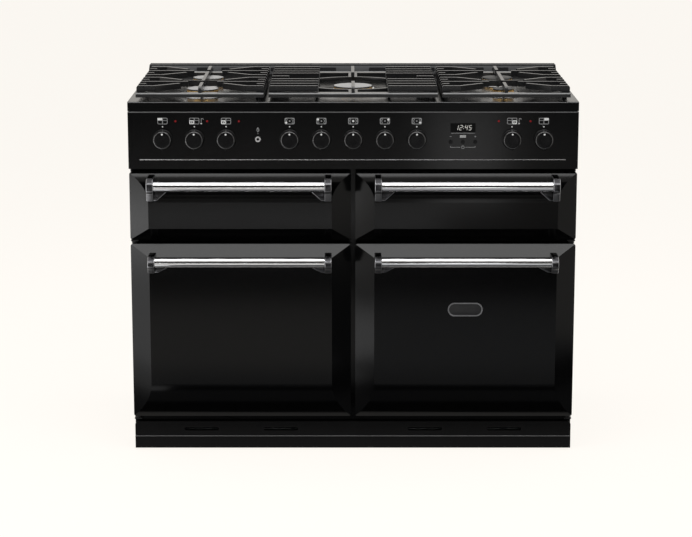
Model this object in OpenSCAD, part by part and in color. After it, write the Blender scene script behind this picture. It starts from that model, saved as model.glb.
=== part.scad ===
// Free-standing range cooker with two drop-down upper doors, two side-hung lower doors
// and a five-burner gas hob. Millimetres. X is right, Y is back, Z is up.
// The origin lies on the floor under the middle of the whole object.

/* [Body] */
// Overall width
body_w = 1100; // [1080:5:1200]
// Depth from the front of the control panel to the back
body_d = 588; // [580:2:640]
// Thickness of the side, back and floor sheets
sheet_t = 3; // [2:0.5:4]
// Thickness of the pressed enamel skins
skin_t = 2; // [1.5:0.25:2.5]
// Thickness of the front frame
frame_t = 14; // [10:1:18]

/* [Heights from the floor up] */
// Clearance under the plinth
plinth_lift = 4; // [3:1:8]
// Height of the plinth board
plinth_h = 32; // [28:1:40]
// Height of the vent board
vent_h = 37; // [32:1:45]
// Gap between the vent board and the lower doors
base_gap = 20; // [17:1:26]
// Height of a lower door
low_door_h = 441; // [430:1:460]
// Gap between lower and upper doors
mid_gap = 11; // [10.5:0.5:14]
// Height of an upper door
top_door_h = 168; // [164:1:190]
// Gap between the upper doors and the control panel
panel_gap = 10; // [8:1:14]
// Height of the control panel
panel_h = 141; // [136:1:160]
// Joint line under the hob plate
hob_gap = 2; // [1:0.5:4]
// Thickness of the hob plate at its edge
hob_t = 22; // [18:1:26]

/* [Doors] */
// Gap between the left and right doors
door_gap_x = 11; // [9:0.5:14]
// Thickness of a door at its flat face
door_t = 50; // [48:1:54]
// Gap between a door's back and the front frame
door_gap = 4; // [4:0.25:6]
// Depth of the sloping borders
bevel_d = 22; // [18:1:24]
// Width of the side borders
bevel_w = 47; // [40:1:55]
// Height of the flat top and bottom borders
bevel_flat_h = 31; // [28:1:36]
// Height of the rounded border at the top of an upper door
bevel_round_top_h = 72; // [60:1:76]
// Height of the rounded border at the bottom of a lower door
bevel_round_low_h = 89; // [70:1:100]
// Corner radius of a door's outline
door_corner_r = 6; // [4:0.5:8]
// Thickness of the inner door
inner_t = 10; // [8:1:12]
// How far a door's flat face stands in front of the control panel
door_front = 12; // [10:1:14]

/* [Handles] */
// Overall length of a handle
handle_l = 450; // [380:10:470]
// Diameter of the bar
handle_d = 26; // [22:1:28]
// Distance from the flat face to the bar's centre
handle_reach = 42; // [38:1:50]
// Width of an end bracket
bracket_w = 17; // [14:1:20]
// Bar centre below the top of an upper door
handle_drop_top = 25; // [24:1:34]
// Bar centre below the top of a lower door
handle_drop_low = 34; // [30:1:40]
// Reach of the web under each end of the bar
gusset_w = 31; // [24:1:36]

/* [Knobs and buttons] */
// Distance between knob places
knob_pitch = 77.5; // [74:0.5:82]
// Height of the knob centres above the panel's bottom edge
knob_rise = 74; // [68:1:80]
// Diameter of a knob at the panel
knob_d = 49; // [44:1:52]
// Diameter of a knob's flat face
knob_face_d = 42; // [38:1:43]
// How far a knob stands out
knob_h = 25; // [20:1:30]
// Diameter of a knob's spindle
spindle_d = 6; // [5:0.5:7]
// Diameter of the gas ignition button
igniter_d = 13.6; // [12:0.2:16]
// Diameter of a timer button
timer_d = 9.4; // [8:0.2:11]
// Distance between timer buttons
timer_pitch = 30; // [26:1:34]
// Width of the clock window
clock_w = 61; // [54:1:70]
// Height of the clock window
clock_h = 22; // [18:1:26]

/* [Hob] */
// Depth of the burner rows behind the panel, front row
burner_y1 = 120; // [115:1:125]
// Depth of the burner rows behind the panel, back row
burner_y2 = 348; // [340:1:352]
// Diameter of a medium burner cap
cap_d = 79; // [74:1:82]
// Diameter of the small burner cap
cap_small_d = 55; // [50:1:60]
// Diameter of the large middle burner cap
cap_large_d = 97; // [90:1:104]
// Gap between pan supports
support_gap = 11; // [8:1:14]
// Width of the middle pan support
support_mid_w = 413; // [405:1:417]
// Height of the pan rests above the hob plate
rest_h = 36; // [34:1:40]
// Thickness of a cast bar
bar_t = 8; // [7:0.5:9]
// Height of the back ledge above the hob plate
ledge_h = 28; // [22:1:32]
// Depth of the back ledge
ledge_d = 38; // [30:1:44]

/* [Ovens] */
// Width of each oven cavity
cavity_w = 430; // [400:5:440]
// Height of a main oven cavity
main_h = 356; // [330:2:360]
// Height of an upper cavity
upper_h = 106; // [100:1:108]
// Depth of every cavity
cavity_d = 400; // [380:5:420]
// Corner radius of the cavities
cavity_r = 14; // [8:1:20]
// Diameter of an oven fan
fan_d = 150; // [130:2:160]
// Diameter of the shelf wires
wire_d = 6; // [5:0.5:7]

/* [Feet and rollers] */
// Diameter of a levelling foot
foot_d = 44; // [36:1:50]
// Diameter of its stud
stud_d = 12; // [10:1:14]
// Diameter of a roller
roller_d = 40; // [36:1:44]
// Travel of a levelling foot
foot_travel = 25; // [20:1:30]

/* [Hidden] */

$fn = 64;
fine = 200;
eps = 0.5;

// Fits
run_fit = 0.05;
push_fit = 0.02;
free_fit = 0.3;
seat = 0.3;

// Heights
z_vent = plinth_lift + plinth_h;
z_vent_top = z_vent + vent_h;
z_low = z_vent_top + base_gap;
z_low_top = z_low + low_door_h;
z_top = z_low_top + mid_gap;
z_top_top = z_top + top_door_h;
z_panel = z_top_top + panel_gap;
z_panel_top = z_panel + panel_h;
z_hob_low = z_panel_top + hob_gap;
z_hob = z_hob_low + hob_t;

// Depths, measured from the middle of the whole object
handle_front = handle_reach + handle_d / 2;
total_d = body_d + door_front + handle_front;
y_back = total_d / 2;
y_panel = y_back - body_d;
y_face = y_panel - door_front;
y_door_back = y_face + door_t;
y_frame = y_door_back + door_gap;
y_liner = y_frame + frame_t;
plinth_step = 1.5;
plinth_t = 11;
flange_w = 18;

// Widths
half_w = body_w / 2;
inner_x = half_w - sheet_t;
door_w = (body_w - door_gap_x) / 2;
door_x = (body_w + door_gap_x) / 4;

// Doors
top_pivot_back = 27;
top_pivot_rise = 18;
low_pivot_in = 10;
low_pivot_back = 34;
curl_d = bevel_d + 0.7;
corner_ease = 0.4;
door_pin_d = 8;
drop_pin_d = 6;
tongue_x = 210;
tongue_w = 8;
drop_bearing_w = 12;
low_bearing_h = 30;
low_bearing_in = skin_t + door_corner_r;
hinge_plate_t = 3;
top_relief = 6.5;
spigot_d = 14;
spigot_l = 10;

// Panel
panel_skin = 2.5;
knob_gap = 1;
nub_d = 9;
z_knob = z_panel + knob_rise;
z_timer = z_knob - 7;
z_clock = z_knob + 28;
clock_x = 268;
rail_rise = 10;
frame_high = z_panel + rail_rise;
rail_drop = 8;
rail_y = y_frame + 2;
rail_t = 3;
tap_l = 38;
tap_w = 26;
switch_w = 44;
tap_y = rail_y + rail_t;
manifold = 20;
manifold_y = tap_y + tap_l;
inlet_d = 21.3;
inlet_bore = 15;
gas_inlet_x = half_w - 50;
pipe_d = 8;
pipe_high = z_hob_low - 12;
pipe_step = 14;
panel_hole = 14;
switch_y = y_panel + 18;
spindle_in = 12;
knob_places = [-6, -5, -4, -2, -1, 0, 1, 2, 5, 6];
igniter_x = -3 * knob_pitch;

// Ovens
low_cavity_z = z_low + 42;
top_cavity_z = z_top + 45;
liner_back = y_liner + cavity_d;
fan_z = low_cavity_z + main_h * 0.55;
fan_gap = 30;
fan_cover_y = liner_back - fan_gap;
shelf_rises = [90, 210];
top_shelf_rise = 36;
ledge_t = 8;
ledge_h_in = 5;
pan_front = 20;
pan_back = 50;
pan_deep = 28;
pan_sheet = 2;
motor_d = 70;
motor_l = 60;
motor_y = liner_back + skin_t + 6;
shaft_d = 8;
element_d = 7;
cover_w = 230;

// Hob
hob_skin = 3;
side_margin = 20;
side_support_w = body_w / 2 - side_margin - support_mid_w / 2 - support_gap;
side_support_x = support_mid_w / 2 + support_gap + side_support_w / 2;
burner_x = side_support_x;
ring_y = (burner_y1 + burner_y2) / 2 - 15;
ring_r = 133;
high_flange_t = 8;
low_flange_t = 3;
brass_t = 4.5;
cap_t = 7;
// Each burner: place across, place behind the panel, cap diameter, height of its flange
burners = [
    [-burner_x, burner_y1, cap_d, high_flange_t], [-burner_x, burner_y2, cap_d, high_flange_t],
    [0, ring_y, cap_large_d, low_flange_t],
    [burner_x, burner_y2, cap_d, high_flange_t], [burner_x, burner_y1, cap_small_d, high_flange_t]];
cup_d = 60;
cup_low = z_hob - 54;
port_count = 20;
support_front = 8;
support_back = burner_y2 + burner_y1 - support_front;
frame_top = rest_h - 16;
frame_low = 10;
bar_low = rest_h - 13;
row_step = 43;
mid_rows = [60, 105, 153, 201];
bar_gap = 17;
ledge_y = y_back - ledge_d;

// Base
base_z = z_vent + 8;
vent_far = 382;
vent_near = 182;
vent_rise = 17;
vent_slot_w = 86;
vent_slot_h = 8.5;
runner_x = half_w - 80;
runner_w = 40;
runner_low = 20;
roller_y = y_back - 60;
foot_y = y_frame + 45;
axle_d = 8;
roller_w = 22;

// Box between two corners
module slab(x0, x1, y0, y1, z0, z1)
    translate([x0, y0, z0]) cube([x1 - x0, y1 - y0, z1 - z0]);

// Round bars along each axis, from one end to the other
module rod_x(d, x0, x1, y, z) translate([x0, y, z]) rotate([0, 90, 0]) cylinder(d = d, h = x1 - x0);
module rod_y(d, x, y0, y1, z) translate([x, y0, z]) rotate([-90, 0, 0]) cylinder(d = d, h = y1 - y0);
module rod_z(d, x, y, z0, z1) translate([x, y, z0]) cylinder(d = d, h = z1 - z0);

// Flat outline pushed along an axis; the outline's second axis is Z
module along_x(x0, x1) translate([x0, 0, 0]) rotate([90, 0, 90]) linear_extrude(x1 - x0) children();
module along_y(y0, y1) translate([0, y1, 0]) rotate([90, 0, 0]) linear_extrude(y1 - y0) children();
module along_z(z0, z1) translate([0, 0, z0]) linear_extrude(z1 - z0) children();

// Rectangle with round corners, centred
module round_rect(w, h, r) {
    square([w - 2 * r, h], center = true);
    square([w, h - 2 * r], center = true);
    for (u = [-1, 1], v = [-1, 1])
        translate([u * (w / 2 - r), v * (h / 2 - r)]) circle(r);
}

// Slot with round ends, centred
module stadium(w, h) {
    square([w - h, h], center = true);
    for (u = [-1, 1]) translate([u * (w - h) / 2, 0]) circle(d = h);
}

// Turned shape: outline points are radius and distance, turned about the Y axis
module turned_y(x, y, z) translate([x, y, z]) rotate([-90, 0, 0]) rotate_extrude() children();

// The same shape on the right and, mirrored, on the left
module both_sides() for (s = [-1, 1]) mirror([s < 0 ? 1 : 0, 0, 0]) children();

module side_panels()
    color("dimgray")
    both_sides() {
        slab(inner_x, half_w, y_frame, y_back, runner_low, z_hob_low);
        // Flange that the back panel is fixed to
        slab(inner_x - flange_w, inner_x, y_back - 2 * sheet_t, y_back - sheet_t,
            base_z + sheet_t, z_hob_low);
    }

module back_panel()
    color("dimgray")
    difference() {
        slab(-inner_x, inner_x, y_back - sheet_t, y_back, base_z, z_hob_low);
        for (k = [-5 : 5], r = [0, 1])
            along_y(y_back - sheet_t - eps, y_back + eps)
                translate([k * 60, z_panel + 30 + r * 40]) stadium(40, 8);
        rod_y(inlet_d + 8, gas_inlet_x, y_back - sheet_t - eps, y_back + eps, z_knob);
    }

module base_frame()
    color("slategray")
    difference() {
        union() {
            slab(-inner_x, inner_x, y_liner, y_back - sheet_t, base_z, base_z + sheet_t);
            both_sides()
                difference() {
                    slab(runner_x - runner_w / 2, runner_x + runner_w / 2, y_liner,
                        roller_y - roller_d, runner_low, base_z);
                    slab(runner_x - runner_w / 2 + sheet_t, runner_x + runner_w / 2 - sheet_t,
                        foot_y + stud_d, roller_y - roller_d + eps, runner_low + sheet_t, base_z - sheet_t);
                }
            // Cheeks that carry the roller axles
            both_sides() for (c = [-1, 1])
                translate([runner_x + c * (roller_w / 2 + 1 + sheet_t / 2), 0, 0])
                    slab(-sheet_t / 2, sheet_t / 2, roller_y - 14, roller_y + 14,
                        roller_d / 2 - 8, base_z);
            both_sides()
                rod_x(axle_d, runner_x - roller_w / 2 - 1, runner_x + roller_w / 2 + 1,
                    roller_y, roller_d / 2);
        }
        both_sides()
            rod_z(stud_d + 2 * run_fit, runner_x, foot_y, runner_low - eps, base_z + sheet_t + eps);
    }

// Outline of one cavity
module cavity_outline(x, z, h) translate([x, z + h / 2]) round_rect(cavity_w, h, cavity_r);

// Bottom rail, three uprights on it, and the rails fitted between them round the cavity mouths
module front_frame()
    color("black") {
        mouth_in = door_x - cavity_w / 2;
        mouth_out = door_x + cavity_w / 2;
        rail_in = mouth_in + push_fit;
        rail_out = mouth_out - push_fit;
        foot_z = low_cavity_z + push_fit;
        along_y(y_frame, y_liner)
            difference() {
                translate([-inner_x, runner_low]) square([2 * inner_x, low_cavity_z - runner_low]);
                vent_slots(6);
            }
        slab(-mouth_in, mouth_in, y_frame, y_liner, foot_z, frame_high);
        both_sides() {
            slab(mouth_out, inner_x, y_frame, y_liner, foot_z, frame_high);
            slab(rail_in, rail_out, y_frame, y_liner, low_cavity_z + main_h, top_cavity_z);
            slab(rail_in, rail_out, y_frame, y_liner, top_cavity_z + upper_h, frame_high);
        }
    }

// Four cooling slots low in the front; grow widens them behind the vent board
module vent_slots(grow)
    for (x = [-vent_far, -vent_near, vent_near, vent_far])
        translate([x, z_vent + vent_rise]) stadium(vent_slot_w + grow, vent_slot_h + grow);

module plinth()
    color("black") {
        slab(-half_w, half_w, y_frame - plinth_t - plinth_step, y_frame, plinth_lift, z_vent - seat);
        along_y(y_frame - plinth_t, y_frame)
            difference() {
                union() {
                    translate([-half_w, z_vent]) square([body_w, vent_h / 2]);
                    translate([0, z_vent + vent_h / 2]) round_rect(body_w, vent_h, 9);
                }
                vent_slots(0);
            }
    }

module control_panel()
    color("black")
    difference() {
        slab(-half_w, half_w, y_panel, y_frame, z_panel, z_panel_top);
        slab(-half_w + panel_skin, half_w - panel_skin, y_panel + panel_skin, y_frame + eps,
            z_panel + panel_skin, z_panel_top - panel_skin);
        for (k = knob_places)
            rod_y(panel_hole, k * knob_pitch, y_panel - eps, y_panel + panel_skin + eps, z_knob);
        rod_y(igniter_d + 2 * free_fit, igniter_x, y_panel - eps, y_panel + panel_skin + eps, z_knob);
        for (k = [-1, 0, 1])
            rod_y(timer_d + 2 * free_fit, clock_x + k * timer_pitch, y_panel - eps,
                y_panel + panel_skin + eps, z_timer);
        along_y(y_panel - eps, y_panel + panel_skin + eps)
            translate([clock_x, z_clock]) square([clock_w, clock_h], center = true);
    }

// Glass let into the panel, with a flange behind it
module clock_window()
    color("darkslategray") {
        along_y(y_panel + 0.3, y_panel + panel_skin)
            translate([clock_x, z_clock]) square([clock_w - 2 * seat, clock_h - 2 * seat], center = true);
        along_y(y_panel + panel_skin, y_panel + panel_skin + 2)
            translate([clock_x, z_clock]) square([clock_w + 8, clock_h + 8], center = true);
    }

// Steel channel behind the panel, and the gas manifold behind the taps with its inlet at the back
module control_rail()
    color("silver") {
        difference() {
            slab(-inner_x, inner_x, rail_y, rail_y + rail_t, z_panel + rail_rise, z_panel_top - rail_drop);
            for (k = knob_places)
                rod_y(spindle_d + 4, k * knob_pitch, rail_y - eps, rail_y + rail_t + eps, z_knob);
        }
        difference() {
            union() {
                slab(-2 * knob_pitch - 18, gas_inlet_x + manifold / 2, manifold_y, manifold_y + manifold,
                    z_knob - manifold / 2, z_knob + manifold / 2);
                rod_y(inlet_d, gas_inlet_x, manifold_y + manifold, y_back, z_knob);
            }
            rod_y(inlet_bore, gas_inlet_x, manifold_y + manifold - 5, y_back + eps, z_knob);
        }
    }

// Gas taps in the middle, oven controls at the sides, with the switches and the clock behind the panel
module control_bodies() {
    color("peru")
    for (k = [-2 : 2])
        difference() {
            slab(k * knob_pitch - tap_w / 2, k * knob_pitch + tap_w / 2, tap_y, manifold_y,
                z_knob - tap_w / 2, z_knob + tap_w / 2);
            rod_y(spindle_d + 2 * run_fit, k * knob_pitch, tap_y - eps, tap_y + tap_l - spindle_in, z_knob);
        }
    color("whitesmoke")
    for (k = [-6, -5, -4, 5, 6])
        difference() {
            slab(k * knob_pitch - switch_w / 2, k * knob_pitch + switch_w / 2, tap_y, manifold_y - 1,
                z_knob - switch_w / 2, z_knob + switch_w / 2);
            rod_y(spindle_d + 2 * run_fit, k * knob_pitch, tap_y - eps, tap_y + tap_l - spindle_in, z_knob);
        }
    color("dimgray") {
        slab(igniter_x - 11, igniter_x + 11, switch_y, rail_y, z_knob - 11, z_knob + 11);
        slab(clock_x - timer_pitch - 10, clock_x + timer_pitch + 10, switch_y, rail_y,
            z_timer - 8, z_timer + 8);
        slab(clock_x - clock_w / 2 - 4, clock_x + clock_w / 2 + 4, y_panel + panel_skin + 2, rail_y,
            z_clock - clock_h / 2 - 4, z_clock + clock_h / 2 + 4);
    }
}

// A pipe from each tap to its burner: up, across, back and in to the flat on the burner's cup
module elbow(p) translate(p) sphere(d = pipe_d);
module burner_pipe(tap_x, b, y, z) {
    x_run = b[0] == 0 ? 0 : b[0] + (b[0] < 0 ? 1 : -1) * 45;
    x_end = b[0] == 0 ? 0 : b[0] + (b[0] < 0 ? 1 : -1) * (cup_d / 2 + 2);
    y_end = y_panel + b[1];
    z_tap = z_knob + tap_w / 2;
    rod_z(pipe_d, tap_x, y, z_tap, z);
    elbow([tap_x, y, z]);
    if (b[0] != 0) {
        rod_x(pipe_d, min(tap_x, x_run), max(tap_x, x_run), y, z);
        elbow([x_run, y, z]);
        rod_y(pipe_d, x_run, y, y_end, z);
        elbow([x_run, y_end, z]);
        rod_x(pipe_d, min(x_run, x_end), max(x_run, x_end), y_end, z);
    } else
        rod_y(pipe_d, x_run, y, y_end - cup_d / 2 - 2, z);
}

module gas_pipes()
    color("orange") {
        near = tap_y + 8;
        far = tap_y + 26;
        burner_pipe(-2 * knob_pitch, burners[0], near, pipe_high);
        burner_pipe(-knob_pitch, burners[1], far, pipe_high - pipe_step);
        burner_pipe(0, burners[2], near, pipe_high);
        burner_pipe(knob_pitch, burners[3], far, pipe_high - pipe_step);
        burner_pipe(2 * knob_pitch, burners[4], near, pipe_high);
    }

// Pressed hob plate with a rounded front edge
module hob_tray()
    color("black")
    difference() {
        along_x(-half_w, half_w) {
            r = 4;
            translate([y_panel + r, z_hob_low]) square([y_back - y_panel - r, hob_t]);
            translate([y_panel, z_hob_low]) square([r + eps, hob_t - r]);
            translate([y_panel + r, z_hob - r]) circle(r);
        }
        slab(-half_w + hob_skin, half_w - hob_skin, y_panel + hob_skin + 1, y_back - hob_skin,
            z_hob_low - eps, z_hob - hob_skin);
        for (b = burners)
            rod_z(cup_d - 12 + 2 * free_fit, b[0], y_panel + b[1], z_hob - hob_skin - eps, z_hob + eps);
    }

// Raised back ledge with its row of air slots
module rear_ledge()
    color("black")
    difference() {
        along_y(ledge_y, y_back)
            polygon([[-half_w + 2, z_hob], [half_w - 2, z_hob], [half_w - 6, z_hob + ledge_h],
                [-half_w + 6, z_hob + ledge_h]]);
        slab(-half_w + 12, half_w - 12, ledge_y + sheet_t, y_back - sheet_t,
            z_hob - eps, z_hob + ledge_h - sheet_t);
        for (k = [-7 : 7])
            along_z(z_hob, z_hob + ledge_h + eps)
                translate([k * 66, (ledge_y + y_back) / 2]) stadium(46, 8);
    }

module burner_bases()
    color("silver")
    for (b = burners) {
        x = b[0];
        y = y_panel + b[1];
        flange_d = b[2] + 24;
        difference() {
            union() {
                // Flange on the plate, stem through it and cup below it
                translate([x, y, z_hob])
                    rotate_extrude() polygon([[0, 0], [flange_d / 2, 0], [flange_d / 2, 2.5],
                        [b[2] / 2 + 1, b[3]], [0, b[3]]]);
                rod_z(cup_d - 12, x, y, z_hob - hob_skin, z_hob);
                rod_z(cup_d, x, y, cup_low, z_hob - hob_skin);
                if (x == 0) slab(-8, 8, y - cup_d / 2 - 2, y, pipe_high - 8, pipe_high + 6);
                else {
                    s = x < 0 ? 1 : -1;
                    slab(min(x, x + s * (cup_d / 2 + 2)), max(x, x + s * (cup_d / 2 + 2)), y - 7, y + 7,
                        pipe_high - pipe_step - 6, pipe_high + 6);
                }
            }
            rod_z(cup_d - 30, x, y, cup_low + 10, z_hob + b[3] + eps);
        }
    }

// Brass flame rings with a row of ports
module burner_heads()
    color("goldenrod")
    for (b = burners)
        translate([b[0], y_panel + b[1], z_hob + b[3]])
            difference() {
                cylinder(d = b[2] - 2, h = brass_t);
                translate([0, 0, -eps]) cylinder(d = b[2] - 18, h = brass_t + 2 * eps);
                for (k = [0 : port_count - 1])
                    rotate(k * 360 / port_count)
                        translate([b[2] / 2 - 12, -0.8, 1.5]) cube([14, 1.6, brass_t]);
            }

module burner_caps()
    color("gray")
    for (b = burners) {
        r = b[2] / 2;
        translate([b[0], y_panel + b[1], z_hob + b[3] + brass_t])
            rotate_extrude()
                polygon([[0, 0], [r - 1, 0], [r, 1], [r, 3], [r - 1.5, 4.6], [r - 5, 5.6], [r - 14, cap_t],
                    [0, cap_t]]);
    }

// Open-fronted box of enamelled sheet, with shelf ledges pressed into its sides
module cavity_liner(x, z, h, ledges, back_hole) {
    difference() {
        along_y(y_liner, liner_back + skin_t)
            translate([x, z + h / 2]) round_rect(cavity_w + 2 * skin_t, h + 2 * skin_t, cavity_r + skin_t);
        along_y(y_liner - eps, liner_back) cavity_outline(x, z, h);
        if (back_hole) rod_y(shaft_d + 6, x, liner_back - eps, liner_back + skin_t + eps, fan_z);
    }
    for (s = [-1, 1], e = ledges)
        slab(min(x + s * cavity_w / 2, x + s * (cavity_w / 2 - ledge_t)),
            max(x + s * cavity_w / 2, x + s * (cavity_w / 2 - ledge_t)),
            y_liner + 15, liner_back - 40, z + e, z + e + ledge_h_in);
}

module grill_liner()
    color("#303236") cavity_liner(-door_x, top_cavity_z, upper_h, [top_shelf_rise], false);
module top_oven_liner()
    color("#303236") cavity_liner(door_x, top_cavity_z, upper_h, [top_shelf_rise], false);
module main_oven_liners()
    color("#303236")
    for (s = [-1, 1]) cavity_liner(s * door_x, low_cavity_z, main_h, shelf_rises, true);

// Heat seals round the cavity mouths
module seal_ring(x, z, h)
    along_y(y_frame - door_gap + 0.6, y_frame)
        translate([x, z + h / 2])
            difference() {
                round_rect(cavity_w + 18, h + 18, cavity_r + 9);
                round_rect(cavity_w + 4, h + 4, cavity_r + 2);
            }
module door_seals()
    color("darkgray")
    for (s = [-1, 1]) {
        seal_ring(s * door_x, low_cavity_z, main_h);
        seal_ring(s * door_x, top_cavity_z, upper_h);
    }

// Wire shelf that rests on a pair of ledges
module wire_shelf(x, z) {
    w = cavity_w - 2 * free_fit - 4;
    l = cavity_d - 70;
    y0 = y_liner + 18;
    zc = z + wire_d / 2;
    for (s = [-1, 1])
        slab(min(x + s * w / 2, x + s * (w / 2 - wire_d)), max(x + s * w / 2, x + s * (w / 2 - wire_d)),
            y0, y0 + l, z, z + wire_d);
    for (y = [y0, y0 + l - wire_d]) slab(x - w / 2, x + w / 2, y, y + wire_d, z, z + wire_d);
    for (k = [-6 : 6]) slab(x + k * 30 - 1.5, x + k * 30 + 1.5, y0, y0 + l, zc - 1.5, zc + 1.5);
}
module oven_shelves()
    color("silver") {
        for (s = [-1, 1], e = shelf_rises) wire_shelf(s * door_x, low_cavity_z + e + ledge_h_in + seat);
        wire_shelf(door_x, top_cavity_z + top_shelf_rise + ledge_h_in + seat);
    }

// Grill pan with side rims that hang on the ledges
module grill_pan()
    color("black") {
        x = -door_x;
        w = cavity_w - 2 * ledge_t - 6;
        z = top_cavity_z + top_shelf_rise + ledge_h_in + seat;
        y0 = y_liner + pan_front;
        y1 = liner_back - pan_back;
        difference() {
            union() {
                slab(x - w / 2, x + w / 2, y0, y1, z - pan_deep, z);
                slab(x - cavity_w / 2 + 3, x + cavity_w / 2 - 3, y0, y1, z, z + pan_sheet);
            }
            slab(x - w / 2 + pan_sheet, x + w / 2 - pan_sheet, y0 + pan_sheet, y1 - pan_sheet,
                z - pan_deep + pan_sheet, z + 2 * pan_sheet);
        }
    }

// Grill and oven elements: hairpins under the roofs, rings round the fans
module hairpin(x, y0, z, w) {
    for (s = [-1, 1]) rod_y(element_d, x + s * w / 2, y0, liner_back, z);
    rod_x(element_d, x - w / 2, x + w / 2, y0, z);
    for (s = [-1, 1]) translate([x + s * w / 2, y0, z]) sphere(d = element_d);
}
module heating_elements()
    color("firebrick") {
        for (s = [-1, 1]) {
            hairpin(s * door_x, y_liner + 50, top_cavity_z + upper_h - 14, 340);
            hairpin(s * door_x, y_liner + 80, top_cavity_z + upper_h - 14, 240);
            hairpin(s * door_x, y_liner + 110, top_cavity_z + upper_h - 14, 140);
            turned_y(s * door_x, liner_back - element_d / 2 - seat, fan_z)
                translate([fan_d / 2 + 14, 0]) circle(d = element_d);
        }
    }

// Perforated covers in front of the fans
module fan_covers()
    color("#303236")
    for (s = [-1, 1])
        translate([s * door_x, 0, fan_z])
            difference() {
                along_y(fan_cover_y - 2, liner_back) round_rect(cover_w, cover_w, 20);
                along_y(fan_cover_y, liner_back + eps) round_rect(cover_w - 4, cover_w - 4, 18);
                for (k = [0 : 11], r = [26, 46])
                    rotate([0, k * 30 + (r == 46 ? 15 : 0), 0])
                        translate([r, 0, 0]) rod_y(10, 0, fan_cover_y - 2 - eps, fan_cover_y + eps, 0);
            }

module fan_motors()
    color("silver")
    for (s = [-1, 1])
        difference() {
            union() {
                rod_y(motor_d, s * door_x, motor_y, motor_y + motor_l, fan_z);
                for (a = [45 : 90 : 315])
                    translate([s * door_x, 0, fan_z]) rotate([0, a, 0])
                        rod_y(8, motor_d / 2 - 2, liner_back + skin_t, motor_y + 6, 0);
            }
            rod_y(shaft_d + 2 * run_fit, s * door_x, motor_y - eps, motor_y + motor_l - 20, fan_z);
        }

// Fixed hinge parts: plates with upright pins for the side-hung doors,
// and tongues with level pins for the drop-down doors
module door_hinges()
    color("silver") {
        px = half_w - low_pivot_in;
        py = y_face + low_pivot_back;
        both_sides() {
            z_high = z_low_top + 6;
            slab(px - 9, px + 9, py - 8, y_frame, z_high, z_high + hinge_plate_t);
            rod_z(door_pin_d + 5, px, py, z_low_top + 1, z_high);
            rod_z(door_pin_d, px, py, z_low_top - low_bearing_h, z_low_top + 1);
            z_foot = z_low - 9;
            slab(px - 9, px + 9, py - 8, y_frame, z_foot, z_foot + hinge_plate_t);
            rod_z(door_pin_d + 5, px, py, z_foot + hinge_plate_t, z_low - 1);
            rod_z(door_pin_d, px, py, z_low - 1, z_low + low_bearing_h);
        }
        ty = y_face + top_pivot_back;
        tz = z_top + top_pivot_rise;
        for (d = [-1, 1], t = [-1, 1]) {
            x = d * door_x + t * tongue_x;
            rod_x(10, x - tongue_w / 2, x + tongue_w / 2, ty, tz);
            slab(x - tongue_w / 2, x + tongue_w / 2, ty, y_frame, tz - 1, tz + 5);
            rod_x(drop_pin_d, x - tongue_w / 2 - drop_bearing_w, x + tongue_w / 2 + drop_bearing_w, ty, tz);
        }
    }

// Section of one shaped edge, with the edge at v = 0
module edge_shape(e, is_round, h, t) {
    if (is_round) {
        r = (e * e + curl_d * curl_d) / (2 * curl_d);
        translate([0, e]) square([t, h - e]);
        intersection() {
            translate([r, e]) circle(r, $fn = fine);
            square([t, e + eps]);
        }
    } else
        polygon([[0, e], [0, h], [t, h], [t, 0], [bevel_d, 0]]);
}

// Solid block of a door: sloping side borders, shaped top and bottom edges, round corners
module door_block(w, h, high_e, high_round, low_e, low_round) {
    t = door_t;
    // The corner rounding starts just outside a curved edge, so that it meets it at an angle
    up = high_round ? corner_ease : 0;
    down = low_round ? corner_ease : 0;
    intersection() {
        linear_extrude(h)
            polygon([[-w / 2, bevel_d], [-w / 2 + bevel_w, 0], [w / 2 - bevel_w, 0], [w / 2, bevel_d],
                [w / 2, t], [-w / 2, t]]);
        along_x(-w / 2, w / 2)
            intersection() {
                translate([0, h]) mirror([0, 1]) edge_shape(high_e, high_round, h, t);
                edge_shape(low_e, low_round, h, t);
            }
        along_y(0, t)
            translate([0, (h + up - down) / 2]) round_rect(w, h + up + down, door_corner_r);
    }
}

module upper_block(w, h) door_block(w, h, bevel_round_top_h, true, bevel_flat_h, false);
module lower_block(w, h) door_block(w, h, bevel_flat_h, false, bevel_round_low_h, true);

// Cut that takes the lower back edge off an upper door, so that it clears the frame as it drops
module drop_relief()
    slab(-door_w, door_w, door_t - top_relief, door_t + eps, -eps, top_relief);

// Room for a hinge tongue through the back and bottom of an upper door
module tongue_notch(w)
    for (t = [-1, 1])
        translate([t * tongue_x, 0, 0])
            slab(-w / 2, w / 2, top_pivot_back - 1.5, door_t + eps, -eps, top_pivot_rise + 5.6);

module upper_skin()
    color("black")
    difference() {
        upper_block(door_w, top_door_h);
        translate([0, skin_t, skin_t]) upper_block(door_w - 2 * skin_t, top_door_h - 2 * skin_t);
        drop_relief();
        tongue_notch(tongue_w + 5);
    }

module lower_skin(side)
    color("black")
    difference() {
        lower_block(door_w, low_door_h);
        translate([0, skin_t, skin_t]) lower_block(door_w - 2 * skin_t, low_door_h - 2 * skin_t);
        rod_z(door_pin_d + 2, side * (door_w / 2 - low_pivot_in), low_pivot_back, -eps, low_door_h + eps);
    }

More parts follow.
